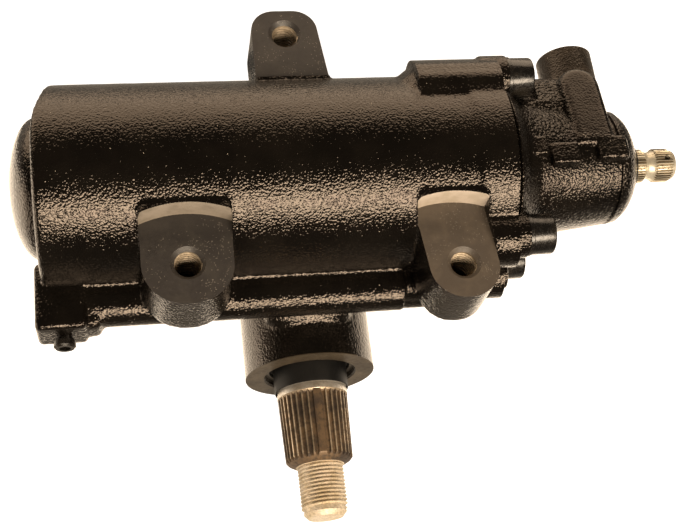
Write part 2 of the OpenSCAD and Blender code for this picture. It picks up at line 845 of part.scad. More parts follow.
module input_dust_seal() {
    inner = journal_d / 2 + run_gap;
    outer = seal_bore / 2 - seat_gap;
    tip = dust_x + dust_l;
    color(rubber) in_place() turn_x([[inner, dust_x], [outer, dust_x], [outer, dust_x + dust_l / 3],
        [inner + 3.5, tip - 1], [inner + 0.8, tip], [inner, tip]]);
}

// Tube seat pressed in below a port's thread, with a cone for the flare
module port_seat(y, tap_d) {
    base = y - port_l - seat_l;
    top = base + seat_l - 0.5;
    r = (tap_d - seat_step) / 2 - seat_gap;
    difference() {
        turn_y([[0, base], [r, base], [r, base + 2], [gallery_d / 2, top], [0, top]]);
        rod_y(base - cut, y, gallery_d - 2);
    }
}

module pressure_port_seat() {
    color(brass) in_place() translate([port_x, 0, pressure_z]) port_seat(pressure_y, pressure_tap_d);
}

module return_port_seat() {
    color(brass) in_place() translate([port_x, 0, -return_z]) port_seat(return_y, return_tap_d);
}

module worm_shaft() {
    runout = 6;
    a0 = -360 * (worm_reach + runout + helix_mid) / lead;
    a1 = 360 * (worm_reach + runout - helix_mid) / lead;
    color(steel) in_place() difference() {
        union() {
            rod_x(-worm_reach, collar_x + cut, worm_d);
            rod_x(collar_x, upper_thrust_x, spigot_bore - 2 * free_gap);
            rod_x(upper_thrust_x - cut, sleeve_x + hub_l, hub_d);
        }
        helix_tube(a0, a1, ball_groove_r, ceil((a1 - a0) / 22.5));
        rod_x(bar_x, sleeve_x + hub_l + cut, bar_bore);
        translate([worm_pin_x, 0, 0]) rotate([90, 0, 0]) cylinder(h = 2 * worm_d, d = pin_d, center = true);
        translate([drive_pin_x, 0, 0]) rod_y(hub_d / 2 - drive_pin_d, hub_d, drive_pin_d);
    }
}

module valve_sleeve() {
    color(steel) in_place() difference() {
        rod_x(sleeve_x, sleeve_end, sleeve_bore - 2 * run_gap);
        rod_x(sleeve_x - cut, sleeve_x + hub_l + 0.3, hub_d + 2 * seat_gap);
        rod_x(sleeve_x, sleeve_end + cut, spool_d + 2 * run_gap);
        for (i = [0 : 3]) translate([i * land_pitch, 0, 0])
            ring_x(sleeve_ring_x, sleeve_ring_x + sleeve_ring_w, sleeve_bore + cut, sleeve_ring_d);
        for (i = [0 : 2]) translate([i * land_pitch, 0, 0]) {
            ring_x(oil_groove_x, oil_groove_x + oil_groove_w, sleeve_bore + cut, sleeve_ring_d - 1);
            translate([oil_groove_x + oil_groove_w / 2, 0, 0]) rotate([45 + 20 * i, 0, 0])
                cylinder(h = 2 * sleeve_bore, d = 3, center = true);
        }
        translate([drive_pin_x, 0, 0]) rod_y(0, sleeve_bore, drive_pin_d);
    }
}

module sleeve_rings() {
    color("#d8cfb8") in_place() for (i = [0 : 3]) translate([i * land_pitch, 0, 0])
        ring_x(sleeve_ring_x + run_gap, sleeve_ring_x + sleeve_ring_w - run_gap,
            sleeve_bore - 2 * run_gap, sleeve_ring_d + 2 * seat_gap);
}

module sleeve_drive_pin() {
    color(dark_steel) in_place() translate([drive_pin_x, 0, 0])
        rod_y(hub_d / 2 - drive_pin_d + free_gap, sleeve_ring_d / 2 - free_gap, drive_pin_d - 2 * seat_gap);
}

module torsion_bar() {
    head = bar_bore - 2 * seat_gap;
    slack = 1.4;
    color(steel) in_place() difference() {
        union() {
            rod_x(bar_x + free_gap, bar_end, bar_d);
            rod_x(bar_x + free_gap, bar_x + bar_head_l, head);
            rod_x(bar_end - bar_head_l, bar_end, bar_bore - 2 * run_gap);
        }
        translate([worm_pin_x, 0, 0]) rotate([90, 0, 0]) cylinder(h = worm_d, d = pin_d, center = true);
        translate([pin_x, 0, 0]) cylinder(h = worm_d, d = pin_d + slack, center = true);
    }
}

module torsion_bar_worm_pin() {
    color(dark_steel) in_place() translate([worm_pin_x, 0, 0]) rotate([90, 0, 0])
        cylinder(h = worm_d - 3, d = pin_d - 2 * seat_gap, center = true);
}

// Star outline of straight-sided splines
module spline_outline(r, count, depth) {
    step = 360 / count;
    polygon([for (i = [0 : count - 1], k = [0 : 3])
        let (a = step * (i + [0.08, 0.42, 0.58, 0.92][k]), point_r = k == 0 || k == 3 ? r : r - depth)
        point_r * [cos(a), sin(a)]]);
}

module input_shaft() {
    groove_x = input_end - 13.4;
    color(steel) in_place() difference() {
        union() {
            rod_x(sleeve_x + hub_l + 0.8, sleeve_end - 1, spool_d);
            rod_x(sleeve_end - 2, spline_x, journal_d);
            intersection() {
                turn_x([[0, spline_x - cut], [spline_d / 2, spline_x - cut], [spline_d / 2, input_end - 3.2],
                    [spline_d / 2 - 1.5, input_end], [0, input_end]]);
                slab_x(spline_x - 2, input_end + cut) spline_outline(spline_d / 2, splines, 0.7);
            }
        }
        rod_x(sleeve_x, input_end + cut, bar_bore);
        rotate([0, 90, 0]) translate([0, 0, groove_x]) rotate_extrude()
            translate([spline_d / 2 + 2.4, 0]) circle(4);
        for (a = [0 : 60 : 300]) rotate([a, 0, 0]) for (i = [0, 1])
            translate([sleeve_x + 14 + 15 * i, spool_d / 2 - 1, -1.5]) cube([10, 3, 3]);
        translate([pin_x, 0, 0]) cylinder(h = 2 * spline_d, d = pin_d, center = true);
    }
}

module torsion_bar_input_pin() {
    color(dark_steel) in_place() translate([pin_x, 0, 0])
        cylinder(h = spline_d - 4, d = pin_d - 2 * seat_gap, center = true);
}

// Spaces between the rack teeth, as outlines in X and Z
module rack_spaces() {
    spread = tan(pressure_angle);
    tip_w = rack_pitch / 4 + (pitch_z - rack_tip_z + cut) * spread;
    root_w = rack_pitch / 4 - (rack_root_z - pitch_z) * spread;
    for (k = [-1 : 1]) translate([k * rack_pitch, 0])
        polygon([[-tip_w, rack_tip_z - cut], [tip_w, rack_tip_z - cut],
            [root_w, rack_root_z], [-root_w, rack_root_z]]);
}

module at_clamp_screws() {
    for (y = [-clamp_hole_y, clamp_hole_y]) translate([guide_mid, y, 0]) children();
}

module piston_rack() {
    r = bore_d / 2 - run_gap;
    half_turns = ball_turns / 2;
    color(steel) in_place() difference() {
        rod_x(-piston_left, piston_right, 2 * r);
        translate([rack_left, -r, -2 * r])
            cube([piston_right - rack_left + cut, 2 * r, 2 * r + rack_tip_z]);
        slab_y(-r, r) rack_spaces();
        rod_x(nut_left - cut, piston_right + cut, worm_d + 2 * free_gap);
        rod_x(plug_face, nut_left, worm_d + 7);
        rod_x(-piston_left - cut, plug_face, end_plug_d);
        ring_x(ring_x0, ring_x0 + ring_w, 2 * r + cut, 2 * r - 4 * ring_t);
        helix_tube(-360 * half_turns, 360 * half_turns, ball_groove_r, ball_turns * 16);
        translate([guide_x0 - 10, -clamp_l / 2 - free_gap, guide_floor])
            cube([guide_l + 20, clamp_l + 2 * free_gap, r]);
        for (x = [guide_x0, guide_x0 + guide_l]) translate([x, 0, ball_circle / 2])
            cylinder(h = r, d = guide_d + 2 * seat_gap);
        at_clamp_screws() translate([0, 0, guide_floor - clamp_grip - 1]) cylinder(h = r, d = clamp_screw_d);
    }
}

module piston_ring() {
    r = bore_d / 2 - run_gap / 2;
    color("#d8cfb8") in_place()
        ring_x(ring_x0 + ring_play, ring_x0 + ring_w - ring_play, 2 * r, 2 * r - 2 * ring_t);
}

module piston_ring_backup() {
    r = bore_d / 2 - run_gap;
    color(rubber) in_place()
        ring_x(ring_x0 + ring_play, ring_x0 + ring_w - ring_play,
            2 * (r - ring_t - ring_play), 2 * (r - 2 * ring_t + seat_gap));
}

module piston_end_plug() {
    color(dark_steel) in_place() difference() {
        rod_x(-piston_left + 0.5, plug_face, end_plug_d - 2 * seat_gap);
        translate([-piston_left - cut, 0, 0]) rotate([0, 90, 0])
            cylinder(h = plug_hex_l + cut, d = plug_hex_d, $fn = 6);
    }
}

module recirculating_balls() {
    turn_length = sqrt(pow(PI * ball_circle, 2) + pow(lead, 2));
    per_turn = floor(turn_length / (ball_d + 0.1));
    step = 360 / per_turn;
    count = ball_turns * per_turn - 2;
    color("#cfcfca") in_place() for (i = [0 : count - 1])
        translate(helix(-180 * ball_turns + step * (i + 1.5), ball_circle / 2)) sphere(d = ball_d);
}

module ball_return_guide() {
    inside = ball_d + 0.4;
    color(steel) in_place() difference() {
        union() {
            translate([0, 0, guide_z]) rod_x(guide_x0, guide_x0 + guide_l, guide_d);
            for (x = [guide_x0, guide_x0 + guide_l]) translate([x, 0, 0]) {
                translate([0, 0, guide_foot]) cylinder(h = guide_z - guide_foot, d = guide_d);
                translate([0, 0, guide_z]) sphere(d = guide_d);
            }
        }
        translate([0, 0, guide_z]) rod_x(guide_x0, guide_x0 + guide_l, inside);
        for (x = [guide_x0, guide_x0 + guide_l]) translate([x, 0, guide_foot - cut])
            cylinder(h = guide_z - guide_foot + cut, d = inside);
    }
}

module guide_clamp() {
    x0 = guide_mid - clamp_w / 2;
    inside = guide_d + 2 * seat_gap;
    color(dark_steel) in_place() difference() {
        translate([x0, -clamp_l / 2, guide_floor]) cube([clamp_w, clamp_l, clamp_top - guide_floor]);
        translate([0, 0, guide_z]) rod_x(x0 - cut, x0 + clamp_w + cut, inside);
        translate([x0 - cut, -inside / 2, guide_floor - cut])
            cube([clamp_w + 2 * cut, inside, guide_z - guide_floor + cut]);
        at_clamp_screws() translate([0, 0, guide_floor - cut])
            cylinder(h = clamp_top, d = clamp_screw_d + free_gap);
    }
}

module guide_clamp_screws() {
    bottom = guide_floor - clamp_grip;
    color(dark_steel) in_place() at_clamp_screws() {
        translate([0, 0, bottom]) cylinder(h = clamp_top - bottom + cut, d = clamp_screw_d - 2 * seat_gap);
        translate([0, 0, clamp_top]) cylinder(h = clamp_head_t, d = clamp_head_d);
    }
}

// Sector gear outline in X and Z about the sector axis
module sector_outline() {
    half = (sector_teeth - 1) / 2;
    circle(hub_r);
    for (k = [-half : half]) rotate(k * 360 / gear_teeth) polygon(tooth_outline());
    intersection() {
        circle(root_r);
        polygon([[0, 0], for (a = [-60 : 20 : 60]) polar(2 * root_r, a)]);
    }
}

// Ring grooves that stand for the pitman nut thread, as points of radius and height
function thread_profile(r, y0, y1, pitch) =
    let (turns = floor((y0 - y1) / pitch), depth = 0.61 * pitch)
    [for (i = [0 : turns - 1], p = [[r, 0], [r, 0.12], [r - depth, 0.5], [r - depth, 0.62]])
        [p[0], y0 - (i + p[1]) * pitch]];

// Slot that takes the adjuster's head or stem in from the side
module adjuster_slot(h, w) {
    rod_y(slot_y, slot_y + h, w);
    translate([0, slot_y, -w / 2]) cube([trunnion_d, h, w]);
}

module sector_shaft() {
    taper_end = -taper_y - taper_l;
    thread_r = nut_thread_d / 2;
    taper_r = taper_d / 2;
    small_r = taper_r - taper_l / 32;
    color(steel) in_place() at_sector() difference() {
        union() {
            slab_y(-sector_w / 2, sector_w / 2) sector_outline();
            rod_y(-boss_y - 2, -sector_w / 2 + cut, shaft_d);
            rod_y(-taper_y, -boss_y - 1, shaft_d - 0.4);
            rod_y(sector_w / 2 - cut, trunnion_y, trunnion_d);
            intersection() {
                turn_y([[0, -taper_y + cut], [taper_r, -taper_y + cut], [taper_r, -taper_y],
                    [small_r, taper_end], [thread_r + 1, taper_end - 2.5], [0, taper_end - 2.5]]);
                slab_y(taper_end - 3, -taper_y + cut) spline_outline(taper_r, serrations, 1.1);
            }
            turn_y(concat([[0, taper_end], [thread_r - 1.2, taper_end]],
                thread_profile(thread_r, taper_end - 2.5, -shaft_end_y + 3, nut_pitch),
                [[thread_r - 1.2, -shaft_end_y + 2], [thread_r - 3, -shaft_end_y], [0, -shaft_end_y]]));
        }
        adjuster_slot(slot_h, adjuster_head_d + 2 * free_gap);
        adjuster_slot(trunnion_y, adjuster_d + 2 * free_gap);
    }
}

gear_housing();
valve_housing();
valve_housing_screws();
valve_housing_seal();
gallery_seal();
gallery_plug();
side_cover();
side_cover_gasket();
side_cover_bolts();
sector_cover_bush();
lash_adjuster_screw();
adjuster_shim();
adjuster_locknut();
sector_needle_bearing();
sector_oil_seal();
sector_backup_washer();
sector_dust_seal();
sector_snap_ring();
worm_bearing_retainer();
lower_thrust_bearing();
upper_thrust_bearing();
input_needle_bearing();
input_shaft_seal();
input_snap_ring();
input_dust_seal();
pressure_port_seat();
return_port_seat();
worm_shaft();
valve_sleeve();
sleeve_rings();
sleeve_drive_pin();
torsion_bar();
torsion_bar_worm_pin();
input_shaft();
torsion_bar_input_pin();
piston_rack();
piston_ring();
piston_ring_backup();
piston_end_plug();
recirculating_balls();
ball_return_guide();
guide_clamp();
guide_clamp_screws();
sector_shaft();
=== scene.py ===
"""Looks of a power steering gear: black castings, bare shafts, screws, seals and a white studio.

Sizes are millimetres about the point of the worm axis that lies above the sector axis, with X along the
worm towards the input shaft, -Y along the pitman shaft and +Z out of the lug faces.
"""

import json
import logging
import math
from collections.abc import Callable, Iterator
from contextlib import contextmanager
from dataclasses import dataclass
from enum import Enum

import bpy
import numpy as np
from mathutils import Matrix, Vector


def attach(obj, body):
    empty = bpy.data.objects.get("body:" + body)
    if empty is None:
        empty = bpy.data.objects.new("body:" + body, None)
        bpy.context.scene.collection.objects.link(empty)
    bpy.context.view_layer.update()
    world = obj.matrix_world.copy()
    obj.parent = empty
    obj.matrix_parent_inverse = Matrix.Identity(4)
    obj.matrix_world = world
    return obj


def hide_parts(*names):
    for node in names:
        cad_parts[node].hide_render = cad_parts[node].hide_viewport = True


logging.basicConfig(level=logging.INFO, format="%(message)s")
LOG = logging.getLogger("steering_gear")

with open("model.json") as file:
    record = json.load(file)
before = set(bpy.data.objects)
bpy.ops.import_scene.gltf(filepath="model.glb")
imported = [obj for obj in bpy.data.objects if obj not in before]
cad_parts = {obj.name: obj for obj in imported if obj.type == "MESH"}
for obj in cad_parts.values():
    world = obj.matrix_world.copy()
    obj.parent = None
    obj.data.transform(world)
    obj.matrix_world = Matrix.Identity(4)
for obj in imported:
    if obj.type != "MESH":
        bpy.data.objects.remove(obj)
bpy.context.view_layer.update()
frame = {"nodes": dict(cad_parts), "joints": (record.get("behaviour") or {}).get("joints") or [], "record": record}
MM = 0.001
JOINTS = {joint["name"]: joint for joint in frame["joints"]}
WORM = Vector(JOINTS["worm_turn"]["pos_m"])
SECTOR_DROP = (WORM.z - JOINTS["sector_swing"]["pos_m"][2]) / MM

# Castings: stock under a milled face, depth of a facing cut, reach of a wide cutter, room that a cutter
# leaves beyond a piece, lap of pieces that melt together, and length of the waves of the skin.
STOCK = 2.0
SPARE = 9.0
FAR = 130.0
CLEAR = 2.0
LAP = 0.2
SKIN_WAVE = 9.0

# Tests on faces: how far a face may lie from the surface it belongs to.
HAIR = 0.1
FLUSH = 0.2
NEAR = 0.3

# Rounds and shading: angles in degrees, and the distance in metres below which corners merge.
ROUND_ANGLE = 35.0
SMOOTH_ANGLE = 32.0
MERGE_M = 1e-6

# Thread ridge: half widths of foot and crest as shares of the pitch, sunk foot, and steps of a turn.
RIDGE_FOOT = 0.44
RIDGE_CREST = 0.06
RIDGE_SINK = 0.25
RIDGE_STEPS = 40

# Corners of one serration: share of its step, and whether the corner lies in the valley.
SERRATION_CORNERS = ((0.0, False), (0.24, False), (0.44, True), (0.8, True))

PAINT_IOR = 1.5

Piece = bpy.types.Object
Socket = bpy.types.NodeSocket
Pair = tuple[float, float]
Pairs = tuple[Pair, ...]
Point = tuple[float, float, float]
Outline = list[Pair]
FaceTest = Callable[[np.ndarray, np.ndarray], np.ndarray]


class Axis(Enum):
    """Direction of a rod, a turned piece or an extrusion, as the turn that lays +Z along it."""

    X = (0.0, math.pi / 2, 0.0)
    Y = (-math.pi / 2, 0.0, 0.0)
    Z = (0.0, 0.0, 0.0)

    def point(self, u: float, v: float, s: float) -> Point:
        """Point at u and v across the axis and s along it."""
        return {Axis.X: (s, u, v), Axis.Y: (u, s, v), Axis.Z: (u, v, s)}[self]


class Cut(Enum):
    """What a boolean does with its second mesh."""

    AWAY = "DIFFERENCE"
    JOIN = "UNION"
    KEEP = "INTERSECT"


def spot(point: Point) -> Vector:
    """Place in the row frame, in metres, of a point in millimetres about the worm axis."""
    return WORM + Vector(point) * MM


def on_sector(y: float = 0.0) -> Point:
    """Point of the sector axis."""
    return (0.0, y, -SECTOR_DROP)


def off_sector(centres: np.ndarray) -> np.ndarray:
    """Distance of points from the sector axis."""
    return np.hypot(centres[:, 0], centres[:, 2] + SECTOR_DROP)


def off_worm(centres: np.ndarray) -> np.ndarray:
    """Distance of points from the worm axis."""
    return np.hypot(centres[:, 1], centres[:, 2])


def pick(obj: Piece) -> None:
    """Select one object alone and make it active."""
    bpy.ops.object.select_all(action="DESELECT")
    obj.select_set(True)
    bpy.context.view_layer.objects.active = obj


@contextmanager
def editing(obj: Piece) -> Iterator[None]:
    """Edit mode on one object, with all of its mesh selected."""
    pick(obj)
    bpy.ops.object.mode_set(mode="EDIT")
    bpy.ops.mesh.select_all(action="SELECT")
    yield
    bpy.ops.object.mode_set(mode="OBJECT")


def face_outward() -> None:
    """In edit mode, select all of the mesh and turn its faces outward."""
    bpy.ops.mesh.select_all(action="SELECT")
    bpy.ops.mesh.normals_make_consistent(inside=False)


def settle(obj: Piece, name: str) -> Piece:
    """Name a piece and put its place into its mesh.

    Args:
        obj: the object to settle.
        name: its new name.

    Returns:
        The same object, at the origin.
    """
    pick(obj)
    bpy.ops.object.transform_apply(location=True, rotation=True, scale=True)
    obj.name = name
    return obj


def modify(obj: Piece, kind: str, **values: object) -> Piece:
    """Add a modifier and apply it.

    Args:
        obj: the object to change.
        kind: Blender's type of modifier.
        values: its settings.

    Returns:
        The same object.
    """
    pick(obj)
    step = obj.modifiers.new(kind.lower(), kind)
    for key, value in values.items():
        setattr(step, key, value)
    bpy.ops.object.modifier_apply(modifier=step.name)
    return obj


def soften(obj: Piece, width: float, segments: int = 3) -> Piece:
    """Round the sharp edges of a piece.

    Args:
        obj: the piece.
        width: width of the round in millimetres.
        segments: facets of the round.

    Returns:
        The same object.
    """
    return modify(obj, "BEVEL", width=width * MM, segments=segments, limit_method="ANGLE",
                  angle_limit=math.radians(ROUND_ANGLE), use_clamp_overlap=True)


def rod(name: str, axis: Axis, start: Point, length: float, r: float, r_end: float | None = None,
        sides: int = 72) -> Piece:
    """Rod or cone from a starting point along an axis.

    Args:
        name: name of the piece.
        axis: its direction.
        start: middle of its first end.
        length: its length.
        r: radius at the first end.
        r_end: radius at the far end, where it is another.
        sides: facets round the rod.

    Returns:
        The new object.
    """
    middle = Vector(start) + Vector(axis.point(0, 0, length / 2))
    far_r = r if r_end is None else r_end
    bpy.ops.mesh.primitive_cone_add(vertices=sides, radius1=r * MM, radius2=far_r * MM, depth=length * MM,
                                    location=spot(middle), rotation=axis.value)
    return settle(bpy.context.object, name)


def block(name: str, low: Point, high: Point) -> Piece:
    """Box between two corners.

    Args:
        name: name of the piece.
        low: lowest corner.
        high: highest corner.

    Returns:
        The new object.
    """
    size = (Vector(high) - Vector(low)) * MM
    bpy.ops.mesh.primitive_cube_add(size=1, location=spot((Vector(low) + Vector(high)) / 2), scale=size)
    return settle(bpy.context.object, name)


def sketch(name: str, points: list[Point], closed: bool) -> Piece:
    """Line or face through points, in metres about the origin.

    Args:
        name: name of the piece.
        points: its corners in millimetres.
        closed: True for a face, False for an open line.

    Returns:
        The new object.
    """
    mesh = bpy.data.meshes.new(name)
    count = len(points)
    edges = [] if closed else [(i, i + 1) for i in range(count - 1)]
    mesh.from_pydata([Vector(p) * MM for p in points], edges, [list(range(count))] if closed else [])
    obj = bpy.data.objects.new(name, mesh)
    bpy.context.scene.collection.objects.link(obj)
    return obj


def turned(name: str, axis: Axis, centre: Point, profile: Outline, steps: int = 96) -> Piece:
    """Piece turned on a lathe.

    Args:
        name: name of the piece.
        axis: direction of its axis.
        centre: point that stations along the axis are counted from.
        profile: radius and station of each corner. Where its ends differ, they are closed to the axis.
        steps: facets round the piece.

    Returns:
        The new object.
    """
    first, last = profile[0], profile[-1]
    head = [(0.0, first[1])] if first != last and first[0] > 0 else []
    tail = [(0.0, last[1])] if first != last and last[0] > 0 else []
    obj = sketch(name, [(r, 0.0, s) for r, s in head + profile + tail], closed=False)
    with editing(obj):
        bpy.ops.mesh.spin(steps=steps, angle=2 * math.pi, center=(0, 0, 0), axis=(0, 0, 1))
        bpy.ops.mesh.select_all(action="SELECT")
        bpy.ops.mesh.remove_doubles(threshold=MERGE_M)
        face_outward()
    obj.rotation_euler = axis.value
    obj.location = spot(centre)
    return settle(obj, name)


def extruded(name: str, axis: Axis, outline: Outline, low: float, high: float) -> Piece:
    """Outline drawn across an axis and pulled along it.

    Args:
        name: name of the piece.
        axis: direction of the pull.
        outline: corners across the axis.
        low: first station.
        high: last station.

    Returns:
        The new object.
    """
    obj = sketch(name, [axis.point(u, v, low) for u, v in outline], closed=True)
    with editing(obj):
        pull = Vector(axis.point(0, 0, high - low)) * MM
        bpy.ops.mesh.extrude_region_move(TRANSFORM_OT_translate={"value": pull})
        face_outward()
    obj.location = WORM
    return settle(obj, name)


def thread_ridge(name: str, axis: Axis, start: Point, length: float, r: float, depth: float,
                 pitch: float) -> Piece:
    """Helical ridge of a thread, with its ends closed.

    Args:
        name: name of the piece.
        axis: direction of the thread.
        start: point on the axis where the ridge begins.
        length: threaded length.
        r: radius at the foot of the ridge.
        depth: height of the ridge.
        pitch: pitch of the thread.

    Returns:
        The new object.
    """
    foot, crest = RIDGE_FOOT * pitch, RIDGE_CREST * pitch
    low, high = r - RIDGE_SINK, r + depth
    obj = sketch(name, [(low, 0, -foot), (high, 0, -crest), (high, 0, crest), (low, 0, foot)], closed=True)
    with editing(obj):
        bpy.ops.mesh.delete(type="ONLY_FACE")
    modify(obj, "SCREW", axis="Z", angle=2 * math.pi, screw_offset=pitch * MM, steps=RIDGE_STEPS,
           render_steps=RIDGE_STEPS, iterations=max(1, round(length / pitch)), use_merge_vertices=False,
           use_smooth_shade=False)
    with editing(obj):
        bpy.ops.mesh.fill_holes(sides=4)
        face_outward()
    obj.rotation_euler = axis.value
    obj.location = spot(start)
    return settle(obj, name)


def combine(obj: Piece, cut: Cut, *others: Piece) -> Piece:
    """Boolean of a piece with others, which are used up.

    Args:
        obj: the piece that is kept.
        cut: what is done with each of the others.
        others: the tools.

    Returns:
        The same object.
    """
    for other in others:
        modify(obj, "BOOLEAN", object=other, operation=cut.value, solver="MANIFOLD")
        bpy.data.objects.remove(other)
    return obj


def gather(name: str, parts: list[Piece]) -> Piece:
    """Join several objects into one mesh.

    Args:
        name: name of the joined piece.
        parts: the objects.

    Returns:
        The joined object.
    """
    pick(parts[0])
    for part in parts:
        part.select_set(True)
    bpy.ops.object.join()
    parts[0].name = name
    return parts[0]


def cast(name: str, parts: list[Piece], voxel: float, passes: int, wave: float) -> Piece:
    """Melt overlapping solids into one casting with soft fillets and a slightly uneven skin.

    Args:
        name: name of the casting.
        parts: overlapping closed solids.
        voxel: grain of the melt in millimetres.
        passes: how often the skin is smoothed.
        wave: height of the unevenness in millimetres.

    Returns:
        The casting.
    """
    obj = gather(name, parts)
    obj.data.remesh_voxel_size = voxel * MM
    pick(obj)
    bpy.ops.object.voxel_remesh()
    modify(obj, "SMOOTH", factor=0.5, iterations=passes)
    skin = bpy.data.textures.new(name + "_skin", "CLOUDS")
    skin.noise_scale = SKIN_WAVE * MM
    return modify(obj, "DISPLACE", texture=skin, texture_coords="LOCAL", strength=wave * MM, mid_level=0.5)


def swing(obj: Piece, axis: str, degrees: float, centre: Point = (0.0, 0.0, 0.0)) -> Piece:
    """Turn a piece about the worm point and move it to a centre.

    Args:
        obj: the piece.
        axis: letter of the axis that it turns about.
        degrees: how far it turns.
        centre: where the worm point goes.

    Returns:
        The same object.
    """
    turn = Matrix.Rotation(math.radians(degrees), 4, axis)
    obj.data.transform(Matrix.Translation(spot(centre)) @ turn @ Matrix.Translation(-WORM))
    return obj


def arc(u: float, v: float, r: float, start: float, end: float, steps: int = 12) -> Outline:
    """Points on an arc, with angles in degrees from +u towards +v."""
    angles = [math.radians(start + (end - start) * i / steps) for i in range(steps + 1)]
    return [(u + r * math.cos(a), v + r * math.sin(a)) for a in angles]


def spline_outline(r: float, depth: float, count: int, blanks: int = 0) -> Outline:
    """Star outline of a serrated shaft.

    Args:
        r: radius at the crests.
        depth: depth of the valleys.
        count: number of teeth.
        blanks: number of valleys that are left filled, spread evenly.

    Returns:
        Corners round the shaft.
    """
    points: Outline = []
    for i in range(count):
        filled = blanks and i % (count // blanks) == 0
        for share, low in SERRATION_CORNERS:
            angle = math.radians((i + share) * 360 / count)
            radius = r - depth if low and not filled else r
            points.append((radius * math.cos(angle), radius * math.sin(angle)))
    return points


class Wiring:
    """Short way to add and join shader nodes in a material or a group."""

    def __init__(self, tree: bpy.types.NodeTree) -> None:
        """Wire nodes into a tree."""
        self.tree = tree

    def add(self, kind: str, inputs: dict[str, object] | None = None, **settings: object) -> bpy.types.Node:
        """Add a node.

        Args:
            kind: name of the node without its ShaderNode prefix.
            inputs: value of, or socket linked to, each named input.
            settings: properties of the node.

        Returns:
            The node.
        """
        node = self.tree.nodes.new("ShaderNode" + kind)
        for key, value in settings.items():
            setattr(node, key, value)
        for key, value in (inputs or {}).items():
            self.feed(node.inputs[key], value)
        return node

    def feed(self, socket: Socket, value: object) -> None:
        """Link an output to a socket, or set the socket's own value."""
        if isinstance(value, Socket):
            self.tree.links.new(value, socket)
        else:
            socket.default_value = value

    def math(self, operation: str, a: object, b: object = 0.0) -> Socket:
        """Output of a math node on two values or sockets."""
        node = self.add("Math", operation=operation)
        self.feed(node.inputs[0], a)
        self.feed(node.inputs[1], b)
        return node.outputs[0]

    def step(self, value: object, low: float, high: float) -> Socket:
        """Smooth mask that is 0 at low and 1 at high."""
        node = self.add("MapRange", {"Value": value, "From Min": low, "From Max": high},
                        interpolation_type="SMOOTHSTEP")
        return node.outputs["Result"]

    def raised(self, base: object, mask: object, amount: float) -> Socket:
        """Value that rises from a base by an amount with a mask."""
        return self.math("ADD", self.math("MULTIPLY", mask, amount), base)

    def blend(self, mask: object, a: object, b: object) -> Socket:
        """Colour that goes from a to b with a mask."""
        node = self.add("Mix", {"Factor": mask}, data_type="RGBA")
        self.feed(node.inputs["A"], a)
        self.feed(node.inputs["B"], b)
        return node.outputs["Result"]

    def emboss(self, shader: bpy.types.Node, height: Socket, strength: float, depth: float) -> None:
        """Raise the surface of a shader.

        Args:
            shader: the shader.
            height: height of the relief, from 0 to 1.
            strength: how much of the relief shows.
            depth: depth of the relief in millimetres.
        """
        bump = self.add("Bump", {"Height": height, "Strength": strength, "Distance": depth * MM})
        self.feed(shader.inputs["Normal"], bump.outputs["Normal"])


def new_group(name: str, inputs: list[str], outputs: list[str]) -> tuple[Wiring, dict, dict]:
    """Empty shader node group with float sockets.

    Args:
        name: name of the group.
        inputs: names of the inputs.
        outputs: names of the outputs.

    Returns:
        Its wiring, its input sockets by name and its output sockets by name.
    """
    tree = bpy.data.node_groups.new(name, "ShaderNodeTree")
    for way, names in (("INPUT", inputs), ("OUTPUT", outputs)):
        for key in names:
            tree.interface.new_socket(key, in_out=way, socket_type="NodeSocketFloat")
    way_in = tree.nodes.new("NodeGroupInput")
    way_out = tree.nodes.new("NodeGroupOutput")
    return Wiring(tree), {k: way_in.outputs[k] for k in inputs}, {k: way_out.inputs[k] for k in outputs}


def sand_grain_group() -> bpy.types.NodeTree:
    """Pebbled skin of a sand casting under paint: height of the grain and a slow mottle."""
    w, given, out = new_group("sand_grain", ["Grains per metre"], ["Height", "Mottle"])
    fine_share, pebble_share, dent_share, dent_scale, mottles_per_m = 0.8, 0.5, 0.32, 0.5, 42.0
    place, scale = w.add("TexCoord").outputs["Object"], given["Grains per metre"]
    fine = w.add("TexNoise", {"Vector": place, "Scale": scale, "Detail": 1.0, "Roughness": 0.5})
    pebble = w.add("TexVoronoi", {"Vector": place, "Scale": scale, "Smoothness": 0.45},
                   feature="SMOOTH_F1")
    dent = w.add("TexVoronoi", {"Vector": place, "Scale": w.math("MULTIPLY", scale, dent_scale)})
    skin = w.math("SUBTRACT", w.math("MULTIPLY", fine.outputs["Fac"], fine_share),
                  w.math("MULTIPLY", pebble.outputs["Distance"], pebble_share))
    dents = w.math("MULTIPLY", w.step(dent.outputs["Distance"], 0.0, 0.24), dent_share)
    w.feed(out["Height"], w.math("SUBTRACT", skin, dents))
    mottle = w.add("TexNoise", {"Vector": place, "Scale": mottles_per_m, "Detail": 4.0, "Roughness": 0.6})
    w.feed(out["Mottle"], w.step(mottle.outputs["Fac"], 0.35, 0.7))
    return w.tree


def dust_group() -> bpy.types.NodeTree:
    """Loose specks of pale dust, gathered in drifts; on the cast paints they also serve as painted glints of the
    grain.
    """
    w, given, out = new_group("dust_specks", ["Specks per metre", "Amount"], ["Mask"])
    drifts_per_m, speck_r = 75.0, 0.3
    place = w.add("TexCoord").outputs["Object"]
    cells = w.add("TexVoronoi", {"Vector": place, "Scale": given["Specks per metre"], "Randomness": 1.0})
    chance = w.add("SeparateColor", {"Color": cells.outputs["Color"]}).outputs["Red"]
    drift = w.add("TexNoise", {"Vector": place, "Scale": drifts_per_m, "Detail": 2.0}).outputs["Fac"]
    chosen = w.math("LESS_THAN", chance, w.math("MULTIPLY", given["Amount"], w.step(drift, 0.4, 0.68)))
    near = w.math("LESS_THAN", cells.outputs["Distance"], speck_r)
    w.feed(out["Mask"], w.math("MULTIPLY", chosen, near))
    return w.tree


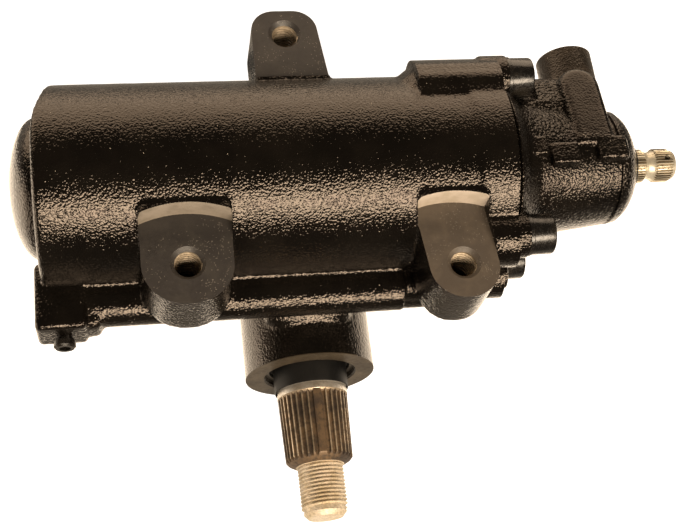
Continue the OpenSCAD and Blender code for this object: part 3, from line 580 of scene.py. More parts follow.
def stain_group() -> bpy.types.NodeTree:
    """Blotches of oil and grime."""
    w, given, out = new_group("oil_stain", ["Blotches per metre"], ["Mask", "Fine"])
    specks_to_blotch = 7.0
    place, scale = w.add("TexCoord").outputs["Object"], given["Blotches per metre"]
    blotch = w.add("TexNoise", {"Vector": place, "Scale": scale, "Detail": 5.0, "Roughness": 0.62})
    w.feed(out["Mask"], w.step(blotch.outputs["Fac"], 0.4, 0.64))
    speck_scale = w.math("MULTIPLY", scale, specks_to_blotch)
    speck = w.add("TexNoise", {"Vector": place, "Scale": speck_scale, "Detail": 3.0})
    w.feed(out["Fine"], w.step(speck.outputs["Fac"], 0.42, 0.68))
    return w.tree


def tool_marks_group() -> bpy.types.NodeTree:
    """Fine turned or milled lines that run round the X, Y or Z axis of a piece."""
    w, given, out = new_group("tool_marks", ["Along X", "Along Y", "Along Z"], ["Height"])
    lines_per_m = 3200.0
    parts = w.add("SeparateXYZ", {"Vector": w.add("TexCoord").outputs["Object"]})
    rows = [w.math("MULTIPLY", parts.outputs[k], given["Along " + k]) for k in "XYZ"]
    station = w.math("ADD", w.math("ADD", rows[0], rows[1]), rows[2])
    lines = w.add("TexNoise", {"W": station, "Scale": lines_per_m, "Detail": 2.0}, noise_dimensions="1D")
    w.feed(out["Height"], lines.outputs["Fac"])
    return w.tree


SAND_GRAIN = sand_grain_group()
DUST = dust_group()
STAIN = stain_group()
TOOL_MARKS = tool_marks_group()


def principled(name: str, **values: object) -> tuple[bpy.types.Material, Wiring, bpy.types.Node]:
    """New material with plain values on its shader.

    Args:
        name: name of the material.
        values: socket names, with underscores for spaces, and their values.

    Returns:
        The material, its wiring and its shader.
    """
    material = bpy.data.materials.new(name)
    material.use_nodes = True
    shader = material.node_tree.nodes["Principled BSDF"]
    for key, value in values.items():
        shader.inputs[key.replace("_", " ")].default_value = value
    return material, Wiring(material.node_tree), shader


def rgba(colour: Point) -> tuple[float, float, float, float]:
    """Colour with full alpha."""
    return (*colour, 1.0)


def along(marks: Point) -> dict[str, float]:
    """Inputs that lay tool marks along the axes by three shares."""
    return {"Along " + key: share for key, share in zip("XYZ", marks)}


@dataclass(frozen=True)
class CastPaint:
    """Gloss black paint that has pooled over a sand-cast skin."""

    name: str
    colour: Point = (0.0025, 0.002, 0.0016)
    worn: Point = (0.005, 0.004, 0.003)
    # Pale dust specks, which on this paint also serve as painted glints of the grain.
    dust: Point = (0.42, 0.37, 0.30)
    sheen: Point = (1.0, 0.87, 0.76)
    roughness: float = 0.1
    mottle_rough: float = 0.035
    dust_and_glint_rough: float = 0.6
    grains_per_m: float = 980.0
    grain_depth: float = 0.3
    specks_per_m: float = 1500.0
    # Share of cells with a speck, set high enough that the specks also serve as painted glints.
    dust_amount: float = 0.004
    specular: float = 0.48

    def material(self) -> bpy.types.Material:
        """Build the material."""
        material, w, shader = principled(self.name, IOR=PAINT_IOR, Specular_IOR_Level=self.specular,
                                         Specular_Tint=rgba(self.sheen))
        grain = w.add("Group", {"Grains per metre": self.grains_per_m}, node_tree=SAND_GRAIN)
        specks = w.add("Group", {"Specks per metre": self.specks_per_m, "Amount": self.dust_amount},
                       node_tree=DUST)
        # Pale specks, partly dust and partly painted glints, lighten the paint and roughen it.
        mottle, dust_and_glint = grain.outputs["Mottle"], specks.outputs["Mask"]
        paint = w.blend(mottle, rgba(self.colour), rgba(self.worn))
        w.feed(shader.inputs["Base Color"], w.blend(dust_and_glint, paint, rgba(self.dust)))
        gloss = w.raised(self.roughness, mottle, self.mottle_rough)
        w.feed(shader.inputs["Roughness"], w.raised(gloss, dust_and_glint, self.dust_and_glint_rough))
        w.emboss(shader, grain.outputs["Height"], 1.0, self.grain_depth)
        return material


@dataclass(frozen=True)
class MilledPaint:
    """Milled iron under a thin satin coat, with tool marks and dust."""

    name: str
    colour: Point = (0.023, 0.020, 0.0185)
    worn: Point = (0.032, 0.028, 0.0245)
    dust: Point = (0.32, 0.285, 0.24)
    roughness: float = 0.46
    stain_rough: float = 0.12
    blotches_per_m: float = 90.0
    dust_amount: float = 0.17
    specks_per_m: float = 2300.0
    marks: Point = (0.35, 1.0, 0.0)
    mark_strength: float = 0.8
    mark_depth: float = 0.025
    specular: float = 0.5

    def material(self) -> bpy.types.Material:
        """Build the material."""
        material, w, shader = principled(self.name, IOR=PAINT_IOR, Specular_IOR_Level=self.specular)
        stain = w.add("Group", {"Blotches per metre": self.blotches_per_m}, node_tree=STAIN)
        specks = w.add("Group", {"Specks per metre": self.specks_per_m, "Amount": self.dust_amount},
                       node_tree=DUST)
        marks = w.add("Group", along(self.marks), node_tree=TOOL_MARKS)
        coat = w.blend(stain.outputs["Mask"], rgba(self.colour), rgba(self.worn))
        w.feed(shader.inputs["Base Color"], w.blend(specks.outputs["Mask"], coat, rgba(self.dust)))
        w.feed(shader.inputs["Roughness"], w.raised(self.roughness, stain.outputs["Fine"], self.stain_rough))
        w.emboss(shader, marks.outputs["Height"], self.mark_strength, self.mark_depth)
        return material


@dataclass(frozen=True)
class SmoothPaint:
    """Smooth black paint on a turned screw or nut."""

    name: str
    colour: Point = (0.004, 0.0035, 0.003)
    worn: Point = (0.018, 0.015, 0.0115)
    worn_share: float = 0.6
    roughness: float = 0.2
    stain_rough: float = 0.16
    blotches_per_m: float = 150.0
    grains_per_m: float = 900.0
    grain_strength: float = 0.5
    grain_depth: float = 0.04
    specular: float = 0.6

    def material(self) -> bpy.types.Material:
        """Build the material."""
        material, w, shader = principled(self.name, IOR=PAINT_IOR, Specular_IOR_Level=self.specular)
        stain = w.add("Group", {"Blotches per metre": self.blotches_per_m}, node_tree=STAIN)
        grain = w.add("Group", {"Grains per metre": self.grains_per_m}, node_tree=SAND_GRAIN)
        rubbed = w.math("MULTIPLY", stain.outputs["Mask"], self.worn_share)
        w.feed(shader.inputs["Base Color"], w.blend(rubbed, rgba(self.colour), rgba(self.worn)))
        w.feed(shader.inputs["Roughness"], w.raised(self.roughness, stain.outputs["Fine"], self.stain_rough))
        w.emboss(shader, grain.outputs["Height"], self.grain_strength, self.grain_depth)
        return material


@dataclass(frozen=True)
class BareMetal:
    """Bare turned metal with tool marks, stains and grime."""

    name: str
    colour: Point
    stain: Point
    grime: Point = (0.05, 0.04, 0.03)
    roughness: float = 0.3
    stain_rough: float = 0.18
    marks: Point = (0.0, 1.0, 0.0)
    mark_strength: float = 0.7
    mark_depth: float = 0.012
    blotches_per_m: float = 120.0
    grime_amount: float = 0.0
    metallic: float = 1.0

    def material(self) -> bpy.types.Material:
        """Build the material."""
        material, w, shader = principled(self.name, Metallic=self.metallic)
        stain = w.add("Group", {"Blotches per metre": self.blotches_per_m}, node_tree=STAIN)
        marks = w.add("Group", along(self.marks), node_tree=TOOL_MARKS)
        colour = w.blend(stain.outputs["Mask"], rgba(self.colour), rgba(self.stain))
        if self.grime_amount:
            dirt = w.math("MULTIPLY", stain.outputs["Fine"], self.grime_amount)
            colour = w.blend(dirt, colour, rgba(self.grime))
        w.feed(shader.inputs["Base Color"], colour)
        w.feed(shader.inputs["Roughness"], w.raised(self.roughness, stain.outputs["Fine"], self.stain_rough))
        w.emboss(shader, marks.outputs["Height"], self.mark_strength, self.mark_depth)
        return material


@dataclass(frozen=True)
class Moulded:
    """Rubber, seal plastic or gasket board with a fine matt skin."""

    name: str
    colour: Point
    worn: Point
    roughness: float
    mottle_rough: float = 0.15
    grains_per_m: float = 1600.0
    grain_strength: float = 0.4
    grain_depth: float = 0.05
    specular: float = 0.18

    def material(self) -> bpy.types.Material:
        """Build the material."""
        material, w, shader = principled(self.name, IOR=PAINT_IOR, Specular_IOR_Level=self.specular)
        grain = w.add("Group", {"Grains per metre": self.grains_per_m}, node_tree=SAND_GRAIN)
        mottle = grain.outputs["Mottle"]
        w.feed(shader.inputs["Base Color"], w.blend(mottle, rgba(self.colour), rgba(self.worn)))
        w.feed(shader.inputs["Roughness"], w.raised(self.roughness, mottle, self.mottle_rough))
        w.emboss(shader, grain.outputs["Height"], self.grain_strength, self.grain_depth)
        return material


# On the cast paints the pale specks are dust and also painted glints of the grain.
CASTING = CastPaint("black_casting_paint").material()
VALVE_CAST = CastPaint("valve_casting_paint", grain_depth=0.38, dust_amount=0.006, specular=0.42).material()
ROUGH_CAST = CastPaint("rough_casting_paint", grains_per_m=700.0, grain_depth=1.0, roughness=0.17,
                       dust_amount=0.02, specular=0.4).material()
PAD_CAST = CastPaint("smooth_casting_paint", grain_depth=0.1, roughness=0.16, specular=0.4).material()
PORT_CAST = CastPaint("brown_casting_paint", colour=(0.011, 0.0085, 0.006), worn=(0.034, 0.025, 0.017),
                      roughness=0.34, grain_depth=0.26, dust_amount=0.03).material()
LUG_FACE = MilledPaint("milled_lug_face").material()
# Lighter copy of the milled lug paint for the face of the right lug: painted light, for the stronger light that
# falls there.
RIGHT_FACE_PAINTED_LIGHT = MilledPaint("right_lug_face_painted_light", colour=(0.060, 0.048, 0.037),
                          worn=(0.080, 0.064, 0.048)).material()
MOUTH = MilledPaint("turned_boss_mouth", colour=(0.030, 0.023, 0.015), worn=(0.048, 0.037, 0.024),
                    roughness=0.3, dust_amount=0.02, marks=(0.3, 0.0, 0.3), specular=0.3).material()
# Lighter copy of the milled paint for the walls behind the lower lugs: the extra lightness is painted light, for
# the front lamp that these walls face.
LUG_WALL_PAINTED_LIGHT = MilledPaint("milled_lug_wall_painted_light", colour=(0.23, 0.197, 0.16), worn=(0.17, 0.145, 0.114),
                       roughness=0.42, dust_amount=0.03, marks=(1.0, 0.0, 0.25), mark_depth=0.05).material()
# Still lighter copy for the wall behind the right lug: painted light, for the front lamp and the stronger light
# there.
RIGHT_WALL_PAINTED_LIGHT = MilledPaint("right_lug_wall_painted_light", colour=(0.44, 0.375, 0.31), worn=(0.36, 0.306, 0.24),
                          roughness=0.42, dust_amount=0.03, marks=(1.0, 0.0, 0.25),
                          mark_depth=0.05).material()
LUG_THREAD = BareMetal("lug_thread_iron", (0.44, 0.36, 0.26), (0.22, 0.17, 0.11), roughness=0.38,
                       marks=(0.0, 0.0, 1.0), grime_amount=0.35, metallic=0.4).material()
BARE_IRON = BareMetal("machined_iron", (0.30, 0.28, 0.25), (0.18, 0.16, 0.13), roughness=0.4,
                      marks=(1.0, 0.0, 0.0)).material()
SCREW_PAINT = SmoothPaint("black_screw_paint").material()
PITMAN_STEEL = BareMetal("pitman_steel", (0.62, 0.58, 0.52), (0.46, 0.40, 0.32), roughness=0.36,
                         grime_amount=0.2, blotches_per_m=110.0, metallic=0.7).material()
SERRATIONS = BareMetal("oily_serrations", (0.15, 0.098, 0.055), (0.06, 0.044, 0.033),
                       grime=(0.025, 0.021, 0.018), roughness=0.42, grime_amount=0.6, blotches_per_m=70.0,
                       marks=(0.0, 0.2, 0.0), metallic=0.3).material()
CRESTS = BareMetal("worn_serration_crests", (0.44, 0.35, 0.245), (0.22, 0.168, 0.112),
                   grime=(0.06, 0.05, 0.04), roughness=0.36, grime_amount=0.45, blotches_per_m=70.0,
                   marks=(0.0, 0.2, 0.0), metallic=0.5).material()
NUT_THREAD = BareMetal("yellow_nut_thread", (0.72, 0.62, 0.48), (0.60, 0.49, 0.33), roughness=0.4,
                       grime_amount=0.35, blotches_per_m=160.0, metallic=0.4).material()
INPUT_STEEL = BareMetal("input_steel", (0.64, 0.59, 0.48), (0.50, 0.45, 0.34), roughness=0.36,
                        marks=(1.0, 0.0, 0.0), blotches_per_m=140.0, grime_amount=0.15,
                        metallic=0.7).material()
# Spline valleys, coloured darker than the crests of the input shaft.
INPUT_VALLEYS = BareMetal("darker_spline_valleys", (0.30, 0.25, 0.17), (0.17, 0.135, 0.09), roughness=0.42,
                          marks=(0.2, 0.0, 0.0), blotches_per_m=140.0, grime_amount=0.3).material()
# Near-black finish, given to the pin of the torsion bar at the input shaft.
PIN_END = BareMetal("near_black_pin_end", (0.02, 0.018, 0.016), (0.035, 0.03, 0.025), roughness=0.5).material()
MACHINED = BareMetal("machined_steel", (0.46, 0.45, 0.43), (0.33, 0.31, 0.28)).material()
BEARING = BareMetal("bearing_steel", (0.66, 0.66, 0.64), (0.55, 0.54, 0.51), roughness=0.16).material()
SPRING = BareMetal("spring_steel", (0.30, 0.28, 0.25), (0.16, 0.14, 0.12), roughness=0.36).material()
BRONZE = BareMetal("bearing_bronze", (0.62, 0.42, 0.18), (0.45, 0.30, 0.13)).material()
RUBBER = Moulded("black_rubber", (0.003, 0.003, 0.003), (0.007, 0.0065, 0.006), 0.45).material()
PTFE = Moulded("seal_plastic", (0.70, 0.66, 0.56), (0.62, 0.57, 0.46), 0.4).material()
GASKET = Moulded("gasket_board", (0.14, 0.13, 0.10), (0.22, 0.20, 0.15), 0.75).material()

CARRIED_OVER = {
    "black_casting": CASTING, "black_screws": SCREW_PAINT, "pitman_steel": PITMAN_STEEL,
    "input_steel": INPUT_STEEL, "machined_steel": MACHINED, "bearing_steel": BEARING,
    "spring_steel": SPRING, "bearing_bronze": BRONZE, "black_rubber": RUBBER, "white_ptfe": PTFE,
    "gasket_fibre": GASKET,
}


def dress(obj: Piece, base: bpy.types.Material, *patches: tuple[bpy.types.Material, FaceTest]) -> None:
    """Give a piece its base finish and the finishes of some faces.

    Args:
        obj: the piece.
        base: finish of every face that no patch takes.
        patches: finishes with a test on face centres, in millimetres, and face normals.
    """
    obj.data.materials.clear()
    obj.data.materials.append(base)
    count = len(obj.data.polygons)
    centres, normals = np.zeros(count * 3), np.zeros(count * 3)
    obj.data.polygons.foreach_get("center", centres)
    obj.data.polygons.foreach_get("normal", normals)
    centres = (centres.reshape(-1, 3) - np.array(WORM)) / MM
    normals = normals.reshape(-1, 3)
    index = np.zeros(count, dtype=np.int32)
    for material, test in patches:
        obj.data.materials.append(material)
        index[test(centres, normals)] = len(obj.data.materials) - 1
    obj.data.polygons.foreach_set("material_index", index)
    pick(obj)
    bpy.ops.object.shade_smooth_by_angle(angle=math.radians(SMOOTH_ANGLE))


def install(obj: Piece, body: str, slot: str, *nodes: str) -> None:
    """Let a finished piece ride on a body in place of CAD nodes, and report it.

    Args:
        obj: the piece.
        body: body that it moves with.
        slot: material slot of the record; not used.
        nodes: nodes that it stands for.
    """
    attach(obj, body)
    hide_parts(*nodes)
    LOG.info("%s: %d faces on %s", obj.name, len(obj.data.polygons), body)


@dataclass(frozen=True)
class Brick:
    """Box with rounded edges that is cast on."""

    low: Point
    high: Point
    soft: float

    def build(self) -> Piece:
        """Make the box."""
        return soften(block("brick", self.low, self.high), self.soft)


@dataclass(frozen=True)
class Runner:
    """Boss that runs out along the cylinder, with a ramp at its far end."""

    x: float
    r: float
    ramp_x: float
    ramp_r: float
    ramp_share: float

    def build(self, place: Pair, end: float) -> list[Piece]:
        """Make the boss and its ramp.

        Args:
            place: Y and Z of the boss.
            end: station where the boss ends.

        Returns:
            The boss, and the ramp that leads down to the cylinder.
        """
        foot = [self.ramp_share * v for v in place]
        ramp_l = self.x + LAP - self.ramp_x
        return [rod("boss", Axis.X, (self.x, *place), end - self.x, self.r),
                rod("ramp", Axis.X, (self.ramp_x, *foot), ramp_l, self.ramp_r, self.r)]


@dataclass(frozen=True)
class Lug:
    """Mounting lug: its hole, half width, reach, corners, depth of its hole and lean of its root."""

    x: float
    y: float
    half: float
    reach: float
    corner: float
    depth: float
    lean: float = 0.0
    wall_share: float = 0.8

    @property
    def wall_x(self) -> float:
        """Middle of the milled wall behind the lug."""
        return self.x + self.wall_share * self.lean

    def outline(self, root: float, flare: float = 0.0) -> Outline:
        """Rounded outline from the root to the end of the lug.

        Args:
            root: Y of the root.
            flare: how far one side spreads at the root.

        Returns:
            Corners in X and Y.
        """
        way = 1.0 if self.y > 0 else -1.0
        middle = self.y + way * (self.reach - self.corner)
        inset = self.half - self.corner
        right = arc(self.x + inset, middle, self.corner, 0, 90 * way)
        left = arc(self.x - inset, middle, self.corner, 90 * way, 180 * way)
        root_x = self.x + self.lean
        return [(root_x + self.half + flare, root), *right, *left, (root_x - self.half, root)]


@dataclass
class CastFlange:
    """Joint of the two castings, with the screws round it."""

    joint_x: float = 91.0
    seat_x: float = 97.0
    r: float = 48.6
    screw_circle: float = 46.0
    screw_angles: tuple[float, ...] = (49.0, -68.0, 112.0, -131.0)
    ear_r: float = 10.9
    gallery: Pair = (-49.0, -14.0)

    def around(self, angle: float, drop: float = 0.0) -> Pair:
        """Y and Z at an angle from +Z, on the screw circle or inside it by a drop."""
        turn, reach = math.radians(angle), self.screw_circle - drop
        return reach * math.sin(turn), reach * math.cos(turn)

    def screw_places(self) -> list[Pair]:
        """Y and Z of each screw."""
        return [self.around(angle) for angle in self.screw_angles]

    def ears(self, low: float, high: float) -> list[Piece]:
        """Ears round the screws between two stations."""
        return [rod("ear", Axis.X, (low, *place), high - low, self.ear_r) for place in self.screw_places()]


@dataclass
class CoverJoint:
    """Joint of the sector chamber and its cover, with a bolt at each corner."""

    half: float = 48.0
    bolt_inset: float = 7.5
    bolt_reach: float = 26.0

    def bolt_places(self) -> list[Pair]:
        """X and Z of each bolt."""
        x = self.half - self.bolt_inset
        return [(side * x, way * self.bolt_reach - SECTOR_DROP) for side in (-1, 1) for way in (-1, 1)]


@dataclass
class GearHousing:
    """Cylinder with its lugs, oil rail, sector chamber and pitman boss, in one casting."""

    flange: CastFlange
    joint: CoverJoint

    # Cylinder, flange rim and dome, with the points of the rolled upper edge counted from the blind end
    r: float = 47.5
    left: float = -124.5
    edge: float = 1.6
    rim_x: float = 73.5
    rim_ramp: float = 0.4
    rim_inset: float = 0.15
    dome_r: float = 33.0
    dome_h: float = 13.0
    dome_root: float = 6.0
    dome_power: float = 1.9
    dome_steps: int = 14
    rolled: Pairs = ((-3, 3), (0.2, 5), (0.6, 10), (1.3, 14.6), (2.5, 20), (4.0, 26), (5.6, 33), (7.4, 39),
                     (9.6, 43), (12.5, 46), (16, 48), (16, 60), (-3, 60))
    bore_r: float = 36.0
    bore_end: float = -116.0
    bore_look: float = 120.0

    # Bosses and ears at the flange, with angle and drop of each row of the hump over the upper screw
    screw_boss: Runner = Runner(50.0, 9.6, 42.0, 3.5, 0.93)
    hump: Runner = Runner(50.5, 9.8, 44.0, 4.0, 0.94)
    hump_rows: Pairs = ((27, 8.5), (32, 4.8), (37, 1.4), (41.5, 0), (45.5, 0))
    ear_x: float = 83.5
    gallery_ear_x: float = 82.0
    gallery_ear_r: float = 11.4
    lower_ear_x: float = 70.0
    lower_ear_r: float = 13.5
    lower_ear: Pair = (-43.7, 16.5)
    screw_hole_r: float = 5.1
    screw_hole_l: float = 26.0

    # Oil rail and its end block
    rail: Pair = (-55.2, -12.2)
    rail_r: float = 9.4
    rail_inset: float = 1.0
    rail_end: float = 41.5
    crown: Pair = (-52.6, -13.2)
    crown_r: float = 11.0
    tail: Pair = (-51.2, -15.2)
    tail_r: float = 8.8
    keel: Pair = (-53.5, -19.0)
    keel_r: float = 7.8
    keel_x: float = 35.5
    keel_end: float = 70.0
    fillet: Pair = (-50.0, 0.1)
    fillet_r: float = 2.5
    fillet_turn: float = -95.0
    fillet_root: Pair = (-44.0, -6.0)
    end_block: Brick = Brick((-127.8, -68.2, -24.0), (-105.0, -36.0, -1.4), 2.4)
    block_step: Brick = Brick((-109.0, -67.0, -22.0), (-98.0, -40.0, -5.0), 4.0)

    # Lugs, the stock round their walls, the milling cutter and the tapped holes
    top: Lug = Lug(-6.3, 64.6, 16.0, 13.3, 11.5, 31.0)
    left_lug: Lug = Lug(-60.2, -52.5, 20.2, 19.0, 18.7, 26.0)
    right_lug: Lug = Lug(62.8, -59.2, 16.3, 16.7, 15.7, 22.0, lean=-3.4)
    top_root: float = 38.0
    top_flare: float = 3.0
    top_room: float = 32.0
    top_cut_y: float = 39.4
    lower_root: float = -26.0
    lug_face: float = 27.0
    lug_back: float = -3.0
    lug_stock: float = 2.5
    pad_top: float = -27.4
    pad_low: float = -40.0
    pad_corner: float = 5.0
    pad_gap: float = 0.3
    pad_back: float = 5.0
    pad_face: float = 38.8
    wall_y: float = -29.0
    cutter_r: float = 50.0
    mill_gap: float = 0.3
    mill_knee: float = -34.5
    mill_low: float = -60.0
    tap_r: float = 6.0
    thread_pitch: float = 2.1
    thread_depth: float = 1.1
    thread_l: float = 28.0
    thread_low: float = 3.0
    thread_high: float = 1.2
    sink_r: float = 7.9
    sink_lip: float = 0.4
    sink_depth: float = 2.4

    # Sector chamber with its ribs and bolt pads
    chamber_back: float = -98.0
    chamber_top: float = -6.0
    chamber_low: float = -28.0
    chamber_corner: float = 15.0
    cavity_r: float = 38.2
    cavity_y: float = -20.8
    cover_y: float = 50.0
    cover_cut_half: float = 70.0
    cover_cut_top: float = -4.5
    rib_half: float = 3.0
    rib_low: float = -24.0
    rib_z: Pair = (-84.0, -74.0)
    rib_soft: float = 2.5
    bolt_pad_r: float = 9.2
    bolt_pad_y: float = 18.0

    # Pitman boss, with spread and station of its collar, and the swelling at its root
    boss_y: float = -80.0
    boss_top: float = -20.0
    boss_r: float = 31.9
    boss_bore: float = 22.0
    bore_top: float = -13.0
    mouth_flare: float = 1.8
    mouth_depth: float = 1.0
    groove_y: float = -77.0
    groove_w: float = 1.5
    groove_r: float = 23.1
    collar: Pairs = ((0.4, -40), (2.5, -36), (6, -31), (8, -24))
    root: Point = (-2.0, -57.6, -29.0)
    root_r: float = 8.4
    root_half: float = 22.0
    root_steps: int = 10

    @property
    def lower(self) -> tuple[Lug, Lug]:
        """Lugs under the cylinder."""
        return self.left_lug, self.right_lug

    @property
    def stock_end(self) -> float:
        """Station where the casting ends before its joint is milled."""
        return self.flange.joint_x + STOCK

    def cylinder_parts(self) -> list[Piece]:
        """Cylinder with its stepped flange rim, and its domed blind end."""
        rim = self.flange.r - self.rim_inset
        barrel = [(self.r - self.edge, self.left), (self.r, self.left + self.edge),
                  (self.r, self.rim_x - self.rim_ramp), (rim, self.rim_x + self.rim_ramp),
                  (rim, self.stock_end)]
        dome = [(self.dome_r, self.left + self.dome_root)]
        for i in range(self.dome_steps + 1):
            share = i / self.dome_steps
            radius = self.dome_r * (1 - share ** self.dome_power) ** 0.5
            dome.append((radius, self.left - share * self.dome_h))
        rolled = [(self.left + x, y) for x, y in self.rolled]
        shell = turned("barrel", Axis.X, (0, 0, 0), barrel)
        combine(shell, Cut.AWAY, extruded("rolled_edge", Axis.Z, rolled, -FAR, FAR))
        return [shell, turned("dome", Axis.X, (0, 0, 0), dome)]

    def boss_parts(self) -> list[Piece]:
        """Screw bosses and hump that run out along the cylinder, and the flange ears."""
        end = self.stock_end
        gallery = (self.gallery_ear_x, *self.flange.gallery)
        parts = self.flange.ears(self.ear_x, end)
        parts.append(rod("gallery_ear", Axis.X, gallery, end - self.gallery_ear_x, self.gallery_ear_r))
        parts.append(rod("lower_ear", Axis.X, (self.lower_ear_x, *self.lower_ear), end - self.lower_ear_x,
                         self.lower_ear_r))
        for place in self.flange.screw_places():
            parts += self.screw_boss.build(place, end)
        for angle, drop in self.hump_rows:
            parts += self.hump.build(self.flange.around(angle, drop), end)
        return parts

    def rail_parts(self) -> list[Piece]:
        """Oil rail under the cylinder, with its end block."""
        start, end = self.left + self.rail_inset, self.rail_end
        rows = ((start, end, self.rail, self.rail_r), (start, end, self.crown, self.crown_r),
                (start, self.flange.joint_x, self.tail, self.tail_r),
                (self.keel_x, self.keel_end, self.keel, self.keel_r))
        (y, z), (root_y, root_z) = self.fillet, self.fillet_root
        fillet = [*arc(y, z, self.fillet_r, 0, self.fillet_turn, 8), (y, root_z), (root_y, root_z),
                  (root_y, z)]
        return [*[rod("rail", Axis.X, (low, *place), high - low, r) for low, high, place, r in rows],
                extruded("rail_fillet", Axis.X, fillet, start, end), self.end_block.build(),
                self.block_step.build()]

    def pad_outline(self, lug: Lug) -> Outline:
        """Outline of the stock round the milled wall behind a lug."""
        half, x, r = lug.half - self.pad_gap, lug.wall_x, self.pad_corner
        return [(x + half, self.pad_low), *arc(x + half - r, self.pad_top - r, r, 0, 90, 6),
                *arc(x - half + r, self.pad_top - r, r, 90, 180, 6), (x - half, self.pad_low)]

    def lug_parts(self) -> list[Piece]:
        """Lugs with stock on their faces, and the raised stock round the milled walls."""
        low, high = self.lug_back, self.lug_face + self.lug_stock
        parts = [extruded("top_lug", Axis.Z, self.top.outline(self.top_root, self.top_flare), low, high)]
        for lug in self.lower:
            parts.append(extruded("lug", Axis.Z, lug.outline(self.lower_root), low, high))
            parts.append(extruded("pad", Axis.Z, self.pad_outline(lug), self.pad_back, self.pad_face))
        return parts

    def chamber_parts(self) -> list[Piece]:
        """Sector chamber behind the cylinder, with its ribs and bolt pads."""
        half, back, r = self.joint.half, self.chamber_back - STOCK, self.chamber_corner
        outline = [(-half, self.chamber_top), *arc(r - half, back + r, r, 180, 270, 8),
                   *arc(half - r, back + r, r, 270, 360, 8), (half, self.chamber_top)]
        high = self.cover_y + STOCK
        parts = [extruded("chamber", Axis.Y, outline, self.chamber_low, high)]
        for x in (-half, half):
            rib = Brick((x - self.rib_half, self.rib_low, self.rib_z[0]),
                        (x + self.rib_half, self.cover_y, self.rib_z[1]), self.rib_soft)
            parts.append(rib.build())
        for x, z in self.joint.bolt_places():
            parts.append(rod("bolt_pad", Axis.Y, (x, self.bolt_pad_y, z), high - self.bolt_pad_y,
                             self.bolt_pad_r))
        return parts

    def pitman_parts(self) -> list[Piece]:
        """Pitman boss with its collar, and the swelling at its root."""
        low = self.boss_y - STOCK
        collar = [(self.boss_r + spread, y) for spread, y in self.collar]
        shares = [i / self.root_steps for i in range(-self.root_steps, self.root_steps + 1)]
        swelling = [(self.root_r * math.sqrt(1 - s * s), self.root_half * s) for s in shares]
        return [rod("boss", Axis.Y, on_sector(low), self.boss_top - low, self.boss_r, sides=128),
                turned("boss_collar", Axis.Y, on_sector(), collar),
                turned("boss_root", Axis.X, self.root, swelling, steps=64)]

    def machine_faces(self, body: Piece) -> None:
        """Mill the joint, the cover face, the boss mouth, the back and the lugs."""
        joint, cover, back = self.flange.joint_x, self.cover_y, self.chamber_back
        cutters = [
            block("joint_cut", (joint, -FAR, -FAR), (joint + SPARE, FAR, FAR)),
            block("cover_cut", (-self.cover_cut_half, cover, -FAR),
                  (self.cover_cut_half, cover + SPARE, self.cover_cut_top)),
            block("back_cut", (-FAR, -FAR, back - SPARE), (FAR, FAR, back)),
            block("mouth_cut", (-FAR, self.boss_y - SPARE, -FAR), (FAR, self.boss_y, FAR)),
            block("top_cut", (self.top.x - self.top_room, self.top_cut_y, self.lug_face),
                  (self.top.x + self.top_room, FAR, FAR)),
        ]
        for lug in self.lower:
            width, x = lug.half + self.mill_gap, lug.wall_x
            span = math.degrees(math.asin(width / self.cutter_r))
            sweep = arc(x, self.wall_y - self.cutter_r, self.cutter_r, 90 - span, 90 + span, 24)
            outline = [(lug.x + width, self.mill_low), (x + width, self.mill_knee), *sweep,
                       (x - width, self.mill_knee), (lug.x - width, self.mill_low), (lug.x - width, -FAR),
                       (lug.x + width, -FAR)]
            cutters.append(extruded("mill", Axis.Z, outline, self.lug_face, FAR))
        combine(body, Cut.AWAY, *cutters)

    def drill(self, body: Piece) -> None:
        """Bore the cylinder, the chamber and the boss, and drill the flange."""
        mouth, bore = self.boss_y - self.mouth_depth, self.boss_y - CLEAR
        combine(body, Cut.AWAY,
                rod("bore", Axis.X, (self.bore_end, 0, 0), 2 * FAR, self.bore_r, sides=128),
                rod("cavity", Axis.Y, on_sector(self.cavity_y), FAR, self.cavity_r, sides=96),
                rod("boss_bore", Axis.Y, on_sector(bore), self.bore_top - bore, self.boss_bore, sides=128),
                rod("mouth_round", Axis.Y, on_sector(mouth), 2 * self.mouth_depth,
                    self.boss_bore + self.mouth_flare, self.boss_bore - LAP, sides=128),
                rod("snap_groove", Axis.Y, on_sector(self.groove_y), self.groove_w, self.groove_r,
                    sides=128))
        hole_x = self.flange.joint_x - self.screw_hole_l
        for place in self.flange.screw_places():
            hole = rod("screw_hole", Axis.X, (hole_x, *place), self.screw_hole_l + SPARE, self.screw_hole_r,
                       sides=32)
            combine(body, Cut.AWAY, hole)

    def tap(self, body: Piece) -> None:
        """Drill, countersink and tap the lugs."""
        lip, face = self.sink_lip, self.lug_face
        sink = self.sink_r - self.tap_r + lip
        for lug in (self.top, *self.lower):
            ridge_l = min(lug.depth, self.thread_l) - self.thread_low
            combine(body, Cut.AWAY,
                    rod("tap_hole", Axis.Z, (lug.x, lug.y, face - lug.depth), lug.depth + lip, self.tap_r,
                        sides=64),
                    rod("sink", Axis.Z, (lug.x, lug.y, face - sink), sink + lip, self.tap_r - lip,
                        self.sink_r + lip, sides=64),
                    thread_ridge("tap", Axis.Z, (lug.x, lug.y, face - ridge_l), ridge_l - self.thread_high,
                                 self.tap_r, self.thread_depth, self.thread_pitch))

    def near_hole(self, c: np.ndarray, gap: float) -> np.ndarray:
        """Faces of a lug hole, or beside its countersink by less than a gap."""
        away = [np.hypot(c[:, 0] - lug.x, c[:, 1] - lug.y) for lug in (self.top, *self.lower)]
        return np.min(away, axis=0) < self.sink_r + gap

    def sunk(self, c: np.ndarray, n: np.ndarray) -> np.ndarray:
        """Countersinks of the lug holes."""
        return self.near_hole(c, 2 * NEAR) & (c[:, 2] > self.lug_face - self.sink_depth) & (n[:, 2] > 0.5)

